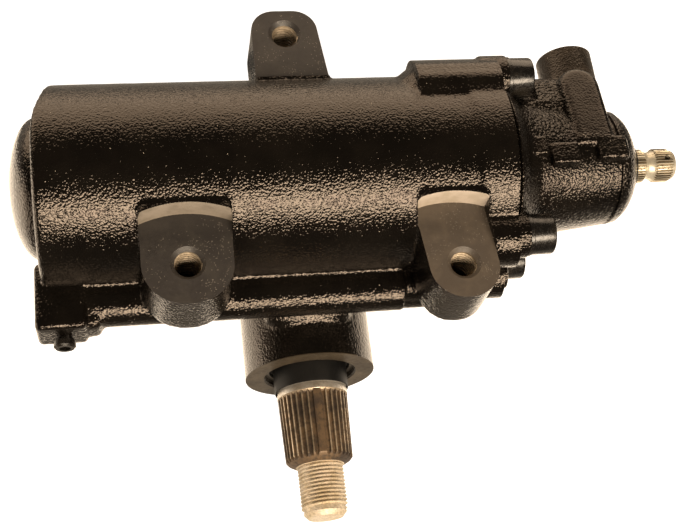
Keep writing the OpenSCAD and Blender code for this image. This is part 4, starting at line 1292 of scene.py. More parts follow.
    def milled_face(self, c: np.ndarray, n: np.ndarray) -> np.ndarray:
        """Milled lug faces, with the countersinks of their holes."""
        return (np.abs(c[:, 2] - self.lug_face) < FLUSH) & (n[:, 2] > 0.95) | self.sunk(c, n)

    def right_face(self, c: np.ndarray, n: np.ndarray) -> np.ndarray:
        """Milled face of the right lug, painted lighter than the others as painted light."""
        return self.milled_face(c, n) & (c[:, 0] > self.rail_end)

    def milled_wall(self, c: np.ndarray, n: np.ndarray) -> np.ndarray:
        """Round milled walls behind the lower lugs."""
        width = self.mill_gap + HAIR
        beside = [np.abs(c[:, 0] - lug.wall_x) < lug.half + width for lug in self.lower]
        upright = (np.abs(n[:, 2]) < 0.15) & (n[:, 1] < -0.6) & (c[:, 2] > self.lug_face)
        return upright & np.any(beside, axis=0) & (c[:, 1] < self.wall_y + 1) & (c[:, 1] > self.pad_low)

    def right_wall(self, c: np.ndarray, n: np.ndarray) -> np.ndarray:
        """Milled wall behind the right lug, painted lighter than the other as painted light."""
        return self.milled_wall(c, n) & (c[:, 0] > self.rail_end)

    def tapped(self, c: np.ndarray, n: np.ndarray) -> np.ndarray:
        """Threaded walls of the lug holes."""
        hole = self.near_hole(c, NEAR) & (c[:, 2] < self.lug_face) & (c[:, 2] > self.lug_back)
        return hole & (n[:, 2] < 0.95) & ~self.sunk(c, n)

    def bored(self, c: np.ndarray, n: np.ndarray) -> np.ndarray:
        """Joint face and bores."""
        bore = (off_worm(c) < self.bore_r + NEAR) & (np.abs(c[:, 0]) < self.bore_look)
        cavity = (off_sector(c) < self.cavity_r + NEAR) & (c[:, 1] > self.cavity_y - FLUSH)
        # Bore faces nearer the mouth than the far side of the snap groove keep the black casting paint, darker
        # than the bare iron beyond.
        boss = (off_sector(c) < self.boss_bore + FLUSH) & (c[:, 1] > self.groove_y + self.groove_w)
        return bore | cavity | boss | (n[:, 0] > 0.99) & (c[:, 0] > self.flange.joint_x - HAIR)

    def mouth(self, c: np.ndarray, n: np.ndarray) -> np.ndarray:
        """Milled mouth of the pitman boss."""
        return (c[:, 1] < self.boss_y + FLUSH) & (off_sector(c) < self.boss_r)

    def build(self) -> None:
        """Cast, mill, drill and paint the gear housing, with its milled faces left bare."""
        parts = self.cylinder_parts() + self.boss_parts() + self.rail_parts() + self.lug_parts()
        parts += self.chamber_parts() + self.pitman_parts()
        body = cast("gear_housing_casting", parts, voxel=1.25, passes=4, wave=0.15)
        self.machine_faces(body)
        self.drill(body)
        self.tap(body)
        # The milled walls, and the face and wall of the right lug, get lighter copies of the milled paint: painted
        # light.
        dress(body, CASTING, (BARE_IRON, self.bored), (MOUTH, self.mouth), (LUG_FACE, self.milled_face),
              (RIGHT_FACE_PAINTED_LIGHT, self.right_face), (LUG_WALL_PAINTED_LIGHT, self.milled_wall), (RIGHT_WALL_PAINTED_LIGHT, self.right_wall),
              (LUG_THREAD, self.tapped))
        install(body, "housing", "black_casting", "gear_housing")


@dataclass(frozen=True)
class Port:
    """Tapped port in a boss on the valve housing, with the oil way that leads down from it."""

    z: float
    foot_y: float
    face_y: float
    r: float
    tap_r: float
    oil_y: float
    tap_l: float = 12.0
    seat_l: float = 17.0
    seat_step: float = 1.0
    oil_rest: float = 24.0
    oil_r: float = 3.5
    sink: float = 1.8
    thread_start: float = 11.0
    thread_l: float = 9.0
    thread_depth: float = 0.85
    thread_pitch: float = 1.5
    bare_ring: float = 2.0

    def boss(self, x: float) -> Piece:
        """Boss of the port, with stock on its face."""
        return rod("port_boss", Axis.Y, (x, self.foot_y, self.z), self.face_y + STOCK - self.foot_y, self.r)

    def drill(self, x: float, body: Piece) -> None:
        """Drill, countersink and tap the port.

        Args:
            x: station of the port.
            body: the casting.
        """
        face, tap = self.face_y, self.tap_r
        oil_l = face - self.oil_rest
        combine(body, Cut.AWAY,
                rod("tap_hole", Axis.Y, (x, face - self.tap_l, self.z), self.tap_l + 1, tap),
                rod("seat_bore", Axis.Y, (x, face - self.seat_l, self.z), self.seat_l - self.tap_l + 1,
                    tap - self.seat_step),
                rod("oil_way", Axis.Y, (x, self.oil_y, self.z), oil_l, self.oil_r, sides=32),
                rod("port_sink", Axis.Y, (x, face + LAP - self.sink, self.z), self.sink + LAP, tap - LAP,
                    tap + self.sink),
                thread_ridge("tap", Axis.Y, (x, face - self.thread_start, self.z), self.thread_l, tap,
                             self.thread_depth, self.thread_pitch))


@dataclass
class ValveHousing:
    """Casting over the valve, with the port bosses on top and a round nose at the input shaft."""

    flange: CastFlange

    # Round body: radius and station of its skin, and of the neck counted from the screw seats
    skin: Pairs = ((33.4, 106.0), (31.0, 126.0), (28.6, 147.2), (27.2, 147.7), (27.2, 149.0), (28.4, 149.5),
                   (27.8, 153.0), (25.4, 156.2), (22.4, 158.6), (19.0, 160.5))
    skin_stock: float = 0.6
    neck: Pairs = ((44.0, -3.0), (41.0, 1.0), (36.5, 4.5), (33.6, 9.5), (33.0, 12.0))
    rim_step: float = 7.0
    gallery_ear_r: float = 7.0
    gallery_ear_l: float = 5.5

    # Ports, with Y and Z of the shoulder and the saddle that carry their bosses
    port_x: float = 140.0
    pressure_port: Port = Port(5.0, 0.0, 60.0, 14.0, 8.25, 8.0)
    return_port: Port = Port(-24.0, 4.0, 53.0, 12.0, 7.25, 20.0)
    port_cut_x: float = 110.0
    return_cut_x: float = 120.0
    port_cut_end: Point = (170.0, 80.0, 60.0)
    return_room: float = 13.0
    shoulder: Pairs = ((-10, 20), (-6, 24), (18, 23), (28, 17), (37, 6), (39, -2), (41, -12), (41, -32),
                       (10, -28), (-10, -8))
    shoulder_x: Pair = (103.0, 149.0)
    saddle: Pairs = ((-4, 16), (6, 24), (24, 26), (38, 23), (43.5, 15), (45, 6), (45, -2), (30, -8),
                     (0, -20))
    saddle_x: Pair = (99.0, 130.0)
    saddle_soft: float = 3.0
    cap_y: float = 44.0
    cap_z: float = -12.0

    # Arched pad in front of the ports, its flank, and the ledges beside it
    pad_x: float = 135.8
    pad_y: float = 32.0
    pad_r: float = 10.2
    pad_foot: float = -4.0
    pad_face: float = 32.4
    pad_stock: float = 0.6
    pad_slope: float = 0.12
    pad_soft: float = 3.2
    pad_look_y: float = 3.0
    pad_look_z: float = 20.0
    flank: Point = (137.4, -2.0, 14.9)
    flank_r: float = 10.8
    flank_l: float = 39.0
    ledges: tuple[Brick, ...] = (Brick((97.5, -9.5, 16.0), (110.5, 0.0, 35.2), 1.0),
                                 Brick((112.0, -14.0, 16.0), (126.0, -3.0, 34.0), 1.0),
                                 Brick((136.0, -11.5, 16.0), (151.6, 1.0, 32.4), 2.0))

    # Screw seats, spigot, and start, end and radius of each bore
    seat_r: float = 10.6
    seat_room: float = 30.0
    front_room: float = 17.0
    screw_hole_r: float = 6.5
    spigot_x: float = 72.5
    spigot_l: float = 24.0
    spigot_r: float = 35.6
    bores: tuple[Point, ...] = ((72.0, 79.5, 30.0), (79.0, 95.5, 23.5), (95.0, 143.0, 20.0),
                                (142.0, 152.0, 12.5), (151.5, 170.0, 14.5))

    @property
    def ports(self) -> tuple[Port, Port]:
        """Both ports."""
        return self.pressure_port, self.return_port

    def nose(self, spare: float) -> Piece:
        """Round body that runs out to the nose, thinner than its skin by some spare."""
        return turned("nose", Axis.X, (0, 0, 0), [(r - spare, x) for r, x in self.skin], steps=128)

    def round_parts(self) -> list[Piece]:
        """Flange and the cone that leads from it to the round body."""
        low, seat = self.flange.joint_x - STOCK, self.flange.seat_x
        neck = [(r, seat + x) for r, x in self.neck]
        return [rod("flange", Axis.X, (low, 0, 0), seat - low, self.flange.r - self.rim_step, sides=128),
                *self.flange.ears(low, seat), turned("neck", Axis.X, (0, 0, 0), neck),
                self.nose(self.skin_stock)]

    def arched_pad(self) -> Piece:
        """Arched pad with a face that leans back towards its top."""
        x, r, foot = self.pad_x, self.pad_r, self.pad_foot
        arch = [(x + r, foot), *arc(x, self.pad_y, r, 0, 180, 18), (x - r, foot)]
        pad = extruded("arch", Axis.Z, arch, 0, self.pad_face + self.pad_stock)
        for vertex in pad.data.vertices:
            if vertex.co.z > spot((0, 0, self.pad_face / 2)).z:
                vertex.co.z -= (vertex.co.y - spot((0, foot, 0)).y) * self.pad_slope
        return soften(pad, self.pad_soft, segments=4)

    def port_parts(self) -> list[Piece]:
        """Port bosses, the arched pad in front of them and the stepped block that carries them."""
        gallery = (self.flange.joint_x - STOCK, *self.flange.gallery)
        return [
            extruded("shoulder", Axis.X, list(self.shoulder), *self.shoulder_x),
            soften(extruded("saddle", Axis.X, list(self.saddle), *self.saddle_x), self.saddle_soft),
            *[port.boss(self.port_x) for port in self.ports],
            self.arched_pad(),
            rod("arch_flank", Axis.Y, self.flank, self.flank_l, self.flank_r),
            rod("gallery_ear", Axis.X, gallery, self.gallery_ear_l, self.gallery_ear_r),
            *[ledge.build() for ledge in self.ledges],
        ]

    def machine(self, body: Piece) -> None:
        """Face the joint and the ports, seat the screws, and bore the valve and the ports."""
        joint, seat, places = self.flange.joint_x, self.flange.seat_x, self.flange.screw_places()
        far_x, far_y, far_z = self.port_cut_end
        combine(body, Cut.JOIN, self.nose(0.0))
        combine(body, Cut.AWAY, block("joint_cut", (joint - SPARE, -FAR, -FAR), (joint, FAR, FAR)),
                block("pressure_cut", (self.port_cut_x, self.pressure_port.face_y, -far_z),
                      (far_x, far_y, far_z)),
                block("return_cut", (self.return_cut_x, self.return_port.face_y, -far_z),
                      (far_x, far_y, self.return_port.z + self.return_room)))
        for y, z in places:
            room = self.front_room if y > 0 and z > 0 else self.seat_room
            combine(body, Cut.AWAY, rod("spot_face", Axis.X, (seat, y, z), room, self.seat_r, sides=64))
        combine(body, Cut.JOIN,
                rod("spigot", Axis.X, (self.spigot_x, 0, 0), self.spigot_l, self.spigot_r, sides=128))
        for place in places:
            hole = rod("screw_hole", Axis.X, (joint - 1, *place), SPARE, self.screw_hole_r, sides=48)
            combine(body, Cut.AWAY, hole)
        for low, high, r in self.bores:
            combine(body, Cut.AWAY, rod("bore", Axis.X, (low, 0, 0), high - low, r, sides=96))
        for port in self.ports:
            port.drill(self.port_x, body)

    def bored(self, c: np.ndarray, n: np.ndarray) -> np.ndarray:
        """Bores, spigot and joint face."""
        valve_r, valve_end, nose_r = self.bores[1][2], self.bores[2][1], self.bores[-1][2]
        valve = (off_worm(c) < valve_r + FLUSH) & (c[:, 0] < valve_end + HAIR)
        return (off_worm(c) < nose_r + NEAR) | (c[:, 0] < self.flange.joint_x + HAIR) | valve

    def ported(self, c: np.ndarray, n: np.ndarray) -> np.ndarray:
        """Faces and threads of the ports."""
        hits = [(np.hypot(c[:, 0] - self.port_x, c[:, 2] - port.z) < port.tap_r + port.bare_ring)
                & (c[:, 1] > port.face_y - port.seat_l - 1) for port in self.ports]
        return np.any(hits, axis=0)

    def cap(self, c: np.ndarray, n: np.ndarray) -> np.ndarray:
        """Brown upper end of the pressure boss."""
        return (c[:, 1] > self.cap_y) & (c[:, 2] > self.cap_z)

    def hollow(self, c: np.ndarray, n: np.ndarray) -> np.ndarray:
        """Rough hollow between the flange and the port bosses."""
        along_x = (c[:, 0] > self.flange.seat_x + 1) & (c[:, 0] < self.pad_x - self.pad_r + 1)
        return along_x & (c[:, 1] > 0) & (c[:, 2] > 0)

    def pad(self, c: np.ndarray, n: np.ndarray) -> np.ndarray:
        """Smooth front of the arched pad."""
        front = (n[:, 2] > 0.9) & (c[:, 1] > self.pad_look_y) & (c[:, 2] > self.pad_look_z)
        return front & (np.abs(c[:, 0] - self.pad_x) < self.pad_r)

    def build(self) -> None:
        """Cast, machine and paint the valve housing."""
        parts = self.round_parts() + self.port_parts()
        body = cast("valve_housing_casting", parts, voxel=0.9, passes=5, wave=0.1)
        self.machine(body)
        dress(body, VALVE_CAST, (ROUGH_CAST, self.hollow), (PAD_CAST, self.pad), (PORT_CAST, self.cap),
              (BARE_IRON, self.bored), (LUG_THREAD, self.ported))
        install(body, "housing", "black_casting", "valve_housing")


@dataclass
class SocketScrews:
    """Socket screws that hold the valve housing."""

    flange: CastFlange
    head_r: float = 9.6
    head_h: float = 12.7
    collar: float = 0.5
    collar_t: Pair = (1.5, 1.9)
    crown: Pairs = ((0.0, 1.0), (0.35, 0.3), (1.1, 0.0))
    shank_r: float = 5.05
    tip: float = 0.8
    grip: float = 28.0
    socket_r: float = 4.9
    socket_x: float = 5.5
    lead: float = 0.9
    lead_in: float = 0.5
    lead_out: float = 0.6

    def build(self) -> None:
        """Turn a screw for each place, and sink its hexagon."""
        r, seat, high = self.head_r, self.flange.seat_x, self.head_h
        profile = [(self.shank_r - self.tip, -self.grip), (self.shank_r, self.tip - self.grip),
                   (self.shank_r, 0), (r + self.collar, 0), (r + self.collar, self.collar_t[0]),
                   (r, self.collar_t[1]), *[(r - inset, high - drop) for inset, drop in self.crown]]
        screws = []
        for place in self.flange.screw_places():
            screw = turned("screw", Axis.X, (seat, *place), profile, steps=72)
            socket = rod("socket", Axis.X, (seat + self.socket_x, *place), SPARE, self.socket_r, sides=6)
            lead_in = rod("lead_in", Axis.X, (seat + high - self.lead, *place), self.lead + HAIR,
                          self.socket_r - self.lead_in, self.socket_r + self.lead_out, sides=48)
            screws.append(combine(screw, Cut.AWAY, socket, lead_in))
        obj = gather("valve_housing_socket_screws", screws)
        dress(obj, SCREW_PAINT)
        install(obj, "housing", "black_screws", "valve_housing_screws")


@dataclass
class SideCover:
    """Cover of the sector chamber with its bolts, lash adjuster and locknut."""

    joint: CoverJoint

    # Cover plate with its ribs, hub and boss, whose skin is given as spread and rise
    back: float = -97.9
    top_z: float = -9.0
    corner: float = 14.5
    top_corner: float = 4.0
    plate_y: float = 51.0
    plate_t: float = 8.0
    hub_y: float = 21.0
    hub_r: float = 26.0
    boss_r: float = 24.0
    boss_y: float = 66.0
    boss_foot: Pairs = ((5.0, -3.0), (2.5, 1.5))
    boss_rim: Pairs = ((0.0, -1.0), (-3.0, 1.2))
    rib_low: Point = (-2.2, -2.0, 20.0)
    rib_high: Point = (2.2, 3.2, 36.0)
    rib_turn: float = 30.0
    ribs: int = 6
    hub_sink: float = 2.0
    bush_r: float = 21.0
    bush_end: float = 49.0

    # Bolts: radius and rise over the plate of washer and crown
    pad_r: float = 9.0
    pad_rise: float = 0.6
    seat_r: float = 8.8
    hole_r: float = 4.5
    bolt_y: float = 32.0
    bolt_r: float = 3.35
    bolt_tip: float = 0.75
    bolt_lead: float = 0.8
    washer: Pairs = ((8.2, 0.0), (8.2, 0.9), (7.0, 1.7))
    crown: Pairs = ((9.0, -1.0), (9.0, 3.6), (6.3, 5.4))
    hex_r: float = 7.4
    hex_low: float = 1.0
    hex_h: float = 4.4

    # Lash adjuster and locknut
    adjuster_r: float = 6.0
    adjuster_end: float = 76.5
    head_y: float = 39.9
    head_t: float = 4.0
    head_step: float = 2.5
    thread_pitch: float = 1.5
    thread_depth: float = 0.75
    thread_low: float = 9.0
    thread_high: float = 2.5
    chamfer: float = 0.8
    slot_depth: float = 2.4
    slot_half: float = 0.9
    nut_r: float = 11.0
    nut_t: float = 8.0
    nut_face_r: float = 9.6
    nut_shell_r: float = 11.5
    nut_chamfer: float = 1.2

    @property
    def face(self) -> float:
        """Y of the outer face of the plate."""
        return self.plate_y + self.plate_t

    def plate_parts(self) -> list[Piece]:
        """Plate with its boss, ribs and bolt pads, with stock on the milled faces."""
        half, top, r, s = self.joint.half, self.top_z, self.corner, self.top_corner
        outline = [*arc(s - half, top - s, s, 90, 180, 5), *arc(r - half, self.back + r, r, 180, 270, 8),
                   *arc(half - r, self.back + r, r, 270, 360, 8), *arc(half - s, top - s, s, 0, 90, 5)]
        boss = [(self.boss_r + spread, self.face + rise) for spread, rise in self.boss_foot]
        boss += [(self.boss_r + spread, self.boss_y + rise) for spread, rise in self.boss_rim]
        parts = [extruded("plate", Axis.Y, outline, self.plate_y - STOCK, self.face),
                 turned("boss", Axis.Y, on_sector(), boss)]
        rise = Vector((0, self.face, 0))
        for i in range(self.ribs):
            rib = block("rib", Vector(self.rib_low) + rise, Vector(self.rib_high) + rise)
            parts.append(swing(rib, "Y", self.rib_turn + 360 / self.ribs * i, on_sector()))
        pad_l = self.plate_t + self.pad_rise + 1
        parts += [rod("bolt_pad", Axis.Y, (x, self.plate_y - 1, z), pad_l, self.pad_r)
                  for x, z in self.joint.bolt_places()]
        return parts

    def machined(self, c: np.ndarray, n: np.ndarray) -> np.ndarray:
        """Joint face, hub and bores."""
        return (c[:, 1] < self.plate_y + HAIR) | (off_sector(c) < self.adjuster_r + NEAR)

    def cover(self) -> None:
        """Cast and machine the cover."""
        body = cast("side_cover_casting", self.plate_parts(), voxel=1.0, passes=4, wave=0.15)
        plate, hub = self.plate_y, self.hub_y
        combine(body, Cut.AWAY, block("joint_cut", (-FAR, plate - SPARE, -FAR), (FAR, plate, FAR)),
                block("boss_cut", (-FAR, self.boss_y, -FAR), (FAR, self.boss_y + SPARE, FAR)))
        combine(body, Cut.JOIN,
                rod("hub", Axis.Y, on_sector(hub), plate + self.hub_sink - hub, self.hub_r, sides=96))
        combine(body, Cut.AWAY,
                rod("bush_bore", Axis.Y, on_sector(hub - 1), self.bush_end - hub + 1, self.bush_r),
                rod("tap_hole", Axis.Y, on_sector(hub), FAR, self.adjuster_r + HAIR / 2))
        for x, z in self.joint.bolt_places():
            combine(body, Cut.AWAY, rod("spot_face", Axis.Y, (x, self.face, z), SPARE, self.seat_r),
                    rod("bolt_hole", Axis.Y, (x, plate - 1, z), FAR, self.hole_r, sides=32))
        dress(body, CASTING, (BARE_IRON, self.machined))
        install(body, "housing", "black_casting", "side_cover")

    def bolts(self) -> None:
        """Hexagon bolts with round washer flanges."""
        face, r = self.face, self.bolt_r
        shank = [(r - self.bolt_tip, self.bolt_y), (r, self.bolt_y + self.bolt_lead), (r, face)]
        shank += [(washer_r, face + rise) for washer_r, rise in self.washer]
        crown = [(crown_r, face + rise) for crown_r, rise in self.crown]
        made = []
        for x, z in self.joint.bolt_places():
            bolt = turned("bolt", Axis.Y, (x, 0, z), shank, steps=48)
            head = rod("head", Axis.Y, (x, face + self.hex_low, z), self.hex_h, self.hex_r, sides=6)
            combine(head, Cut.KEEP, turned("crown", Axis.Y, (x, 0, z), crown, steps=48))
            made.append(combine(bolt, Cut.JOIN, head))
        obj = gather("side_cover_hex_bolts", made)
        dress(obj, SCREW_PAINT)
        install(obj, "housing", "black_screws", "side_cover_bolts")

    def adjuster(self) -> None:
        """Lash adjuster with its thread and slot."""
        end, head, root = self.adjuster_end, self.head_y, self.adjuster_r - self.thread_depth
        head_r, thread_y = self.adjuster_r + self.head_step, self.head_y + self.thread_low
        profile = [(head_r, head), (head_r, head + self.head_t), (root, head + self.head_t),
                   (root, end - self.chamfer), (root - self.chamfer, end)]
        screw = turned("lash_adjuster", Axis.Y, on_sector(), profile, steps=64)
        thread = thread_ridge("thread", Axis.Y, on_sector(thread_y), end - self.thread_high - thread_y, root,
                              self.thread_depth, self.thread_pitch)
        combine(screw, Cut.JOIN, thread)
        slot = block("slot", (-FAR, end - self.slot_depth, -SECTOR_DROP - self.slot_half),
                     (FAR, end + CLEAR, -SECTOR_DROP + self.slot_half))
        combine(screw, Cut.AWAY, slot)
        dress(screw, SCREW_PAINT)
        install(screw, "housing", "black_screws", "lash_adjuster_screw")

    def locknut(self) -> None:
        """Chamfered locknut of the lash adjuster."""
        low, high, r = self.boss_y, self.boss_y + self.nut_t, self.adjuster_r
        nut = rod("adjuster_nut", Axis.Y, on_sector(low), self.nut_t, self.nut_r, sides=6)
        shell = [(self.nut_face_r, low), (self.nut_shell_r, low + self.nut_chamfer),
                 (self.nut_shell_r, high - self.nut_chamfer), (self.nut_face_r, high)]
        combine(nut, Cut.KEEP, turned("shell", Axis.Y, on_sector(), shell, steps=64))
        combine(nut, Cut.AWAY, rod("hole", Axis.Y, on_sector(low - 1), FAR, r + HAIR),
                rod("sink", Axis.Y, on_sector(high - self.chamfer), self.chamfer + LAP, r, r + 1))
        dress(nut, SCREW_PAINT)
        install(nut, "housing", "black_screws", "adjuster_locknut")

    def build(self) -> None:
        """Make the cover and what sits on it."""
        self.cover()
        self.bolts()
        self.adjuster()
        self.locknut()


@dataclass
class GalleryPlug:
    """Plug of the oil rail in the underside of the end block."""

    x: float = -115.5
    y: float = -69.0
    z: float = -14.0
    r: float = 5.0
    head: float = 4.6
    step: float = 0.9
    rim: Pair = (1.2, 0.8)
    thread_r: float = 3.4
    thread_l: float = 9.0
    socket_r: float = 2.9
    socket_l: float = 3.0

    def build(self) -> None:
        """Turn the plug, and sink its hexagon."""
        low, neck = self.y - self.head, self.r - self.step
        profile = [(neck, low), (self.r, low + self.step), (self.r, self.y - self.rim[0]),
                   (neck, self.y - self.rim[1]), (neck, self.y), (self.thread_r, self.y),
                   (self.thread_r, self.y + self.thread_l)]
        plug = turned("gallery_screw_plug", Axis.Y, (self.x, 0, self.z), profile, steps=64)
        socket = rod("socket", Axis.Y, (self.x, low - 1, self.z), self.socket_l + 1, self.socket_r, sides=6)
        combine(plug, Cut.AWAY, socket)
        dress(plug, SCREW_PAINT)
        install(plug, "housing", "black_casting", "gallery_plug")


@dataclass
class SectorShaft:
    """Pitman shaft: toothed sector inside, taper serrations and a nut thread outside."""

    # Toothed sector, with addendum, dedendum and hub as shares of module and pitch radius
    tooth_module: float = 7.0
    gear_teeth: int = 9
    teeth: int = 3
    pressure_angle: float = 25.0
    half_lash: float = 0.2
    addendum: float = 0.8
    dedendum: float = 0.95
    hub_share: float = 0.65
    root_spread: float = 2.5
    hub_spread: float = 12.0
    tooth_sink: float = 2.0
    flank_steps: int = 6
    face_w: float = 40.0

    # Shaft, and radius and rise of the relief over the taper
    shaft_r: float = 17.5
    shaft_end: float = -18.0
    trunnion_r: float = 17.0
    trunnion_y: float = 47.0
    core_r: float = 15.4
    core_gap: Pair = (2.0, 1.5)
    relief: Pairs = ((16.6, -0.4), (17.25, 0.4), (17.25, 2.6), (16.9, 3.2), (16.9, 4.2))
    shoulder: float = 5.2

    # Taper serrations, with angles in degrees, and spread and rise of the corners of their skin
    taper_y: float = -92.2
    taper_end: float = -123.5
    taper_r: float = 17.1
    taper_share: float = 0.94
    taper_run: float = 3.0
    skin_foot: Pair = (0.6, 0.4)
    skin_end: Pairs = ((-1.9, -0.6), (-0.9, 0.6))
    skin_top: Pair = (0.2, 0.4)
    serrations: int = 36
    serration_depth: float = 1.15
    blanks: int = 4
    turn: float = -6.0
    crest_depth: float = 0.35
    crest_slope: float = 0.03
    blank_turn: float = 6.2
    blank_half: float = 5.5

    # Nut thread, with spread and rise of the corners at both its ends, and the slot of the lash adjuster
    thread_r: float = 11.1
    pitch: float = 1.814
    ridge_share: float = 0.61
    thread_l: float = 21.0
    thread_gap: float = 4.2
    thread_end: Pairs = ((-1.6, 0.0), (0.3, 2.2), (0.0, 3.4))
    thread_top: Pairs = ((0.0, -2.0), (1.4, 0.0))
    end_y: float = -151.0
    end_step: float = 2.6
    slot_y: float = 39.0
    slot_h: float = 5.3
    slot_r: float = 9.0
    stem_r: float = 6.5
    slot_l: float = 25.0

    @property
    def pitch_r(self) -> float:
        """Pitch radius of the toothed sector."""
        return self.tooth_module * self.gear_teeth / 2

    @property
    def base_r(self) -> float:
        """Base radius of the toothed sector."""
        return self.pitch_r * math.cos(math.radians(self.pressure_angle))

    def tooth_half(self, r: float) -> float:
        """Half of a tooth's angle at a radius, in degrees."""
        def involute(angle: float) -> float:
            """Involute of an angle in radians, in degrees."""
            return math.degrees(math.tan(angle) - angle)

        lash = math.degrees(self.half_lash / self.pitch_r)
        flank = involute(math.acos(self.base_r / r)) if r > self.base_r else 0.0
        return 90 / self.gear_teeth - lash + involute(math.radians(self.pressure_angle)) - flank

    def gear(self) -> Piece:
        """Hub with its teeth, across the shaft."""
        tip = self.pitch_r + self.addendum * self.tooth_module
        root = self.pitch_r - self.dedendum * self.tooth_module
        hub, half = self.hub_share * self.pitch_r, self.face_w / 2
        steps = self.flank_steps
        radii = [self.base_r + (tip - self.base_r) * i / steps for i in range(steps + 1)]
        side = [(hub - self.tooth_sink, -self.hub_spread),
                (root, self.root_spread - self.tooth_half(self.base_r))]
        side += [(r, -self.tooth_half(r)) for r in radii]
        corners = side + [(r, -a) for r, a in reversed(side)]
        body = rod("hub", Axis.Y, on_sector(-half), self.face_w, hub, sides=96)
        for k in range(self.teeth):
            lean = (k - (self.teeth - 1) / 2) * 360 / self.gear_teeth
            turns = [(r, math.radians(a + lean)) for r, a in corners]
            outline = [(r * math.sin(a), r * math.cos(a) - SECTOR_DROP) for r, a in turns]
            combine(body, Cut.JOIN, extruded("tooth", Axis.Y, outline, -half, half))
        return body

    def serrated(self) -> Piece:
        """Tapered serrations with chamfered ends."""
        low, high, end = self.taper_end - self.taper_run, self.taper_y + 1, self.taper_end
        star = spline_outline(self.taper_r, self.serration_depth, self.serrations, self.blanks)
        cos, sin = math.cos(math.radians(self.turn)), math.sin(math.radians(self.turn))
        outline = [(u * cos - v * sin, u * sin + v * cos - SECTOR_DROP) for u, v in star]
        obj = extruded("serrations", Axis.Y, outline, low, high)
        axis = spot(on_sector())
        for vertex in obj.data.vertices:
            if vertex.co.y < spot((0, low + 1, 0)).y:
                vertex.co.x = axis.x + (vertex.co.x - axis.x) * self.taper_share
                vertex.co.z = axis.z + (vertex.co.z - axis.z) * self.taper_share
        envelope = [(self.thread_r + self.skin_foot[0], low + self.skin_foot[1]),
                    *[(self.taper_r + spread, end + rise) for spread, rise in self.skin_end],
                    (self.taper_r + self.skin_top[0], self.taper_y + self.skin_top[1])]
        return combine(obj, Cut.KEEP, turned("envelope", Axis.Y, on_sector(), envelope))

    def turned_shaft(self, root: float) -> Piece:
        """Plain shaft from its threaded end to the trunnion.

        Args:
            root: radius at the foot of the thread.

        Returns:
            The shaft.
        """
        end, taper, trunnion = self.end_y, self.taper_end, self.trunnion_r
        profile = [(root + spread, end + rise) for spread, rise in self.thread_end]
        profile += [(root + spread, taper + rise) for spread, rise in self.thread_top]
        profile += [(self.core_r, taper + self.core_gap[0]), (self.core_r, self.taper_y - self.core_gap[1])]
        profile += [(r, self.taper_y + rise) for r, rise in self.relief]
        profile += [(self.shaft_r, self.taper_y + self.shoulder), (self.shaft_r, self.shaft_end),
                    (trunnion, self.shaft_end), (trunnion, self.trunnion_y - 1),
                    (trunnion - 1, self.trunnion_y)]
        return turned("pitman_shaft", Axis.Y, on_sector(), profile, steps=128)

    def on_serrations(self, c: np.ndarray, n: np.ndarray) -> np.ndarray:
        """Serrated length."""
        return (c[:, 1] < self.taper_y + FLUSH) & (c[:, 1] > self.taper_end - self.end_step)

    def on_crests(self, c: np.ndarray, n: np.ndarray) -> np.ndarray:
        """Crests of the serrations."""
        limit = self.taper_r - self.crest_depth - (self.taper_y - c[:, 1]) * self.crest_slope
        step = 360 / self.blanks
        turn = np.degrees(np.arctan2(c[:, 2] + SECTOR_DROP, c[:, 0])) - self.turn - self.blank_turn
        off_blank = np.abs((turn + step / 2) % step - step / 2) > self.blank_half
        return self.on_serrations(c, n) & (off_sector(c) > limit) & off_blank

    def on_thread(self, c: np.ndarray, n: np.ndarray) -> np.ndarray:
        """Nut thread and the end of the shaft."""
        return c[:, 1] <= self.taper_end - self.end_step

    def build(self) -> None:
        """Turn the shaft, cut its teeth, serrations and thread, and stain it."""
        ridge = self.ridge_share * self.pitch
        root = self.thread_r - ridge
        shaft = self.turned_shaft(root)
        thread = thread_ridge("thread", Axis.Y, on_sector(self.end_y + self.thread_gap), self.thread_l, root,
                              ridge, self.pitch)
        combine(shaft, Cut.JOIN, self.gear(), self.serrated(), thread)
        low = self.slot_y
        for r, height in ((self.slot_r, self.slot_h), (self.stem_r, FAR)):
            combine(shaft, Cut.AWAY, rod("slot_end", Axis.Y, on_sector(low), height, r),
                    block("slot", (0, low, -SECTOR_DROP - r), (self.slot_l, low + height, -SECTOR_DROP + r)))
        dress(shaft, PITMAN_STEEL, (SERRATIONS, self.on_serrations), (CRESTS, self.on_crests),
              (NUT_THREAD, self.on_thread))
        install(shaft, "sector", "pitman_steel", "sector_shaft")


@dataclass
class SectorSeal:
    """Rubber seal in the mouth of the pitman boss, with a lip that runs out along the shaft."""

    inner_y: float = -70.4
    case_y: float = -75.2
    case_r: float = 21.9
    neck_r: float = 18.2
    lip_r: float = 17.65
    lip_y: float = -88.6
    lip_round: Pair = (0.3, 0.8)

    def build(self) -> None:
        """Mould the seal."""
        inset, rise = self.lip_round
        profile = [(self.lip_r, self.inner_y), (self.case_r, self.inner_y), (self.case_r, self.case_y),
                   (self.neck_r, self.case_y - LAP), (self.neck_r, self.lip_y + rise),
                   (self.neck_r - inset, self.lip_y), (self.lip_r, self.lip_y + LAP),
                   (self.lip_r, self.inner_y)]
        seal = turned("sector_lip_seal", Axis.Y, on_sector(), profile, steps=96)
        dress(seal, RUBBER)
        install(seal, "housing", "black_rubber", "sector_dust_seal")


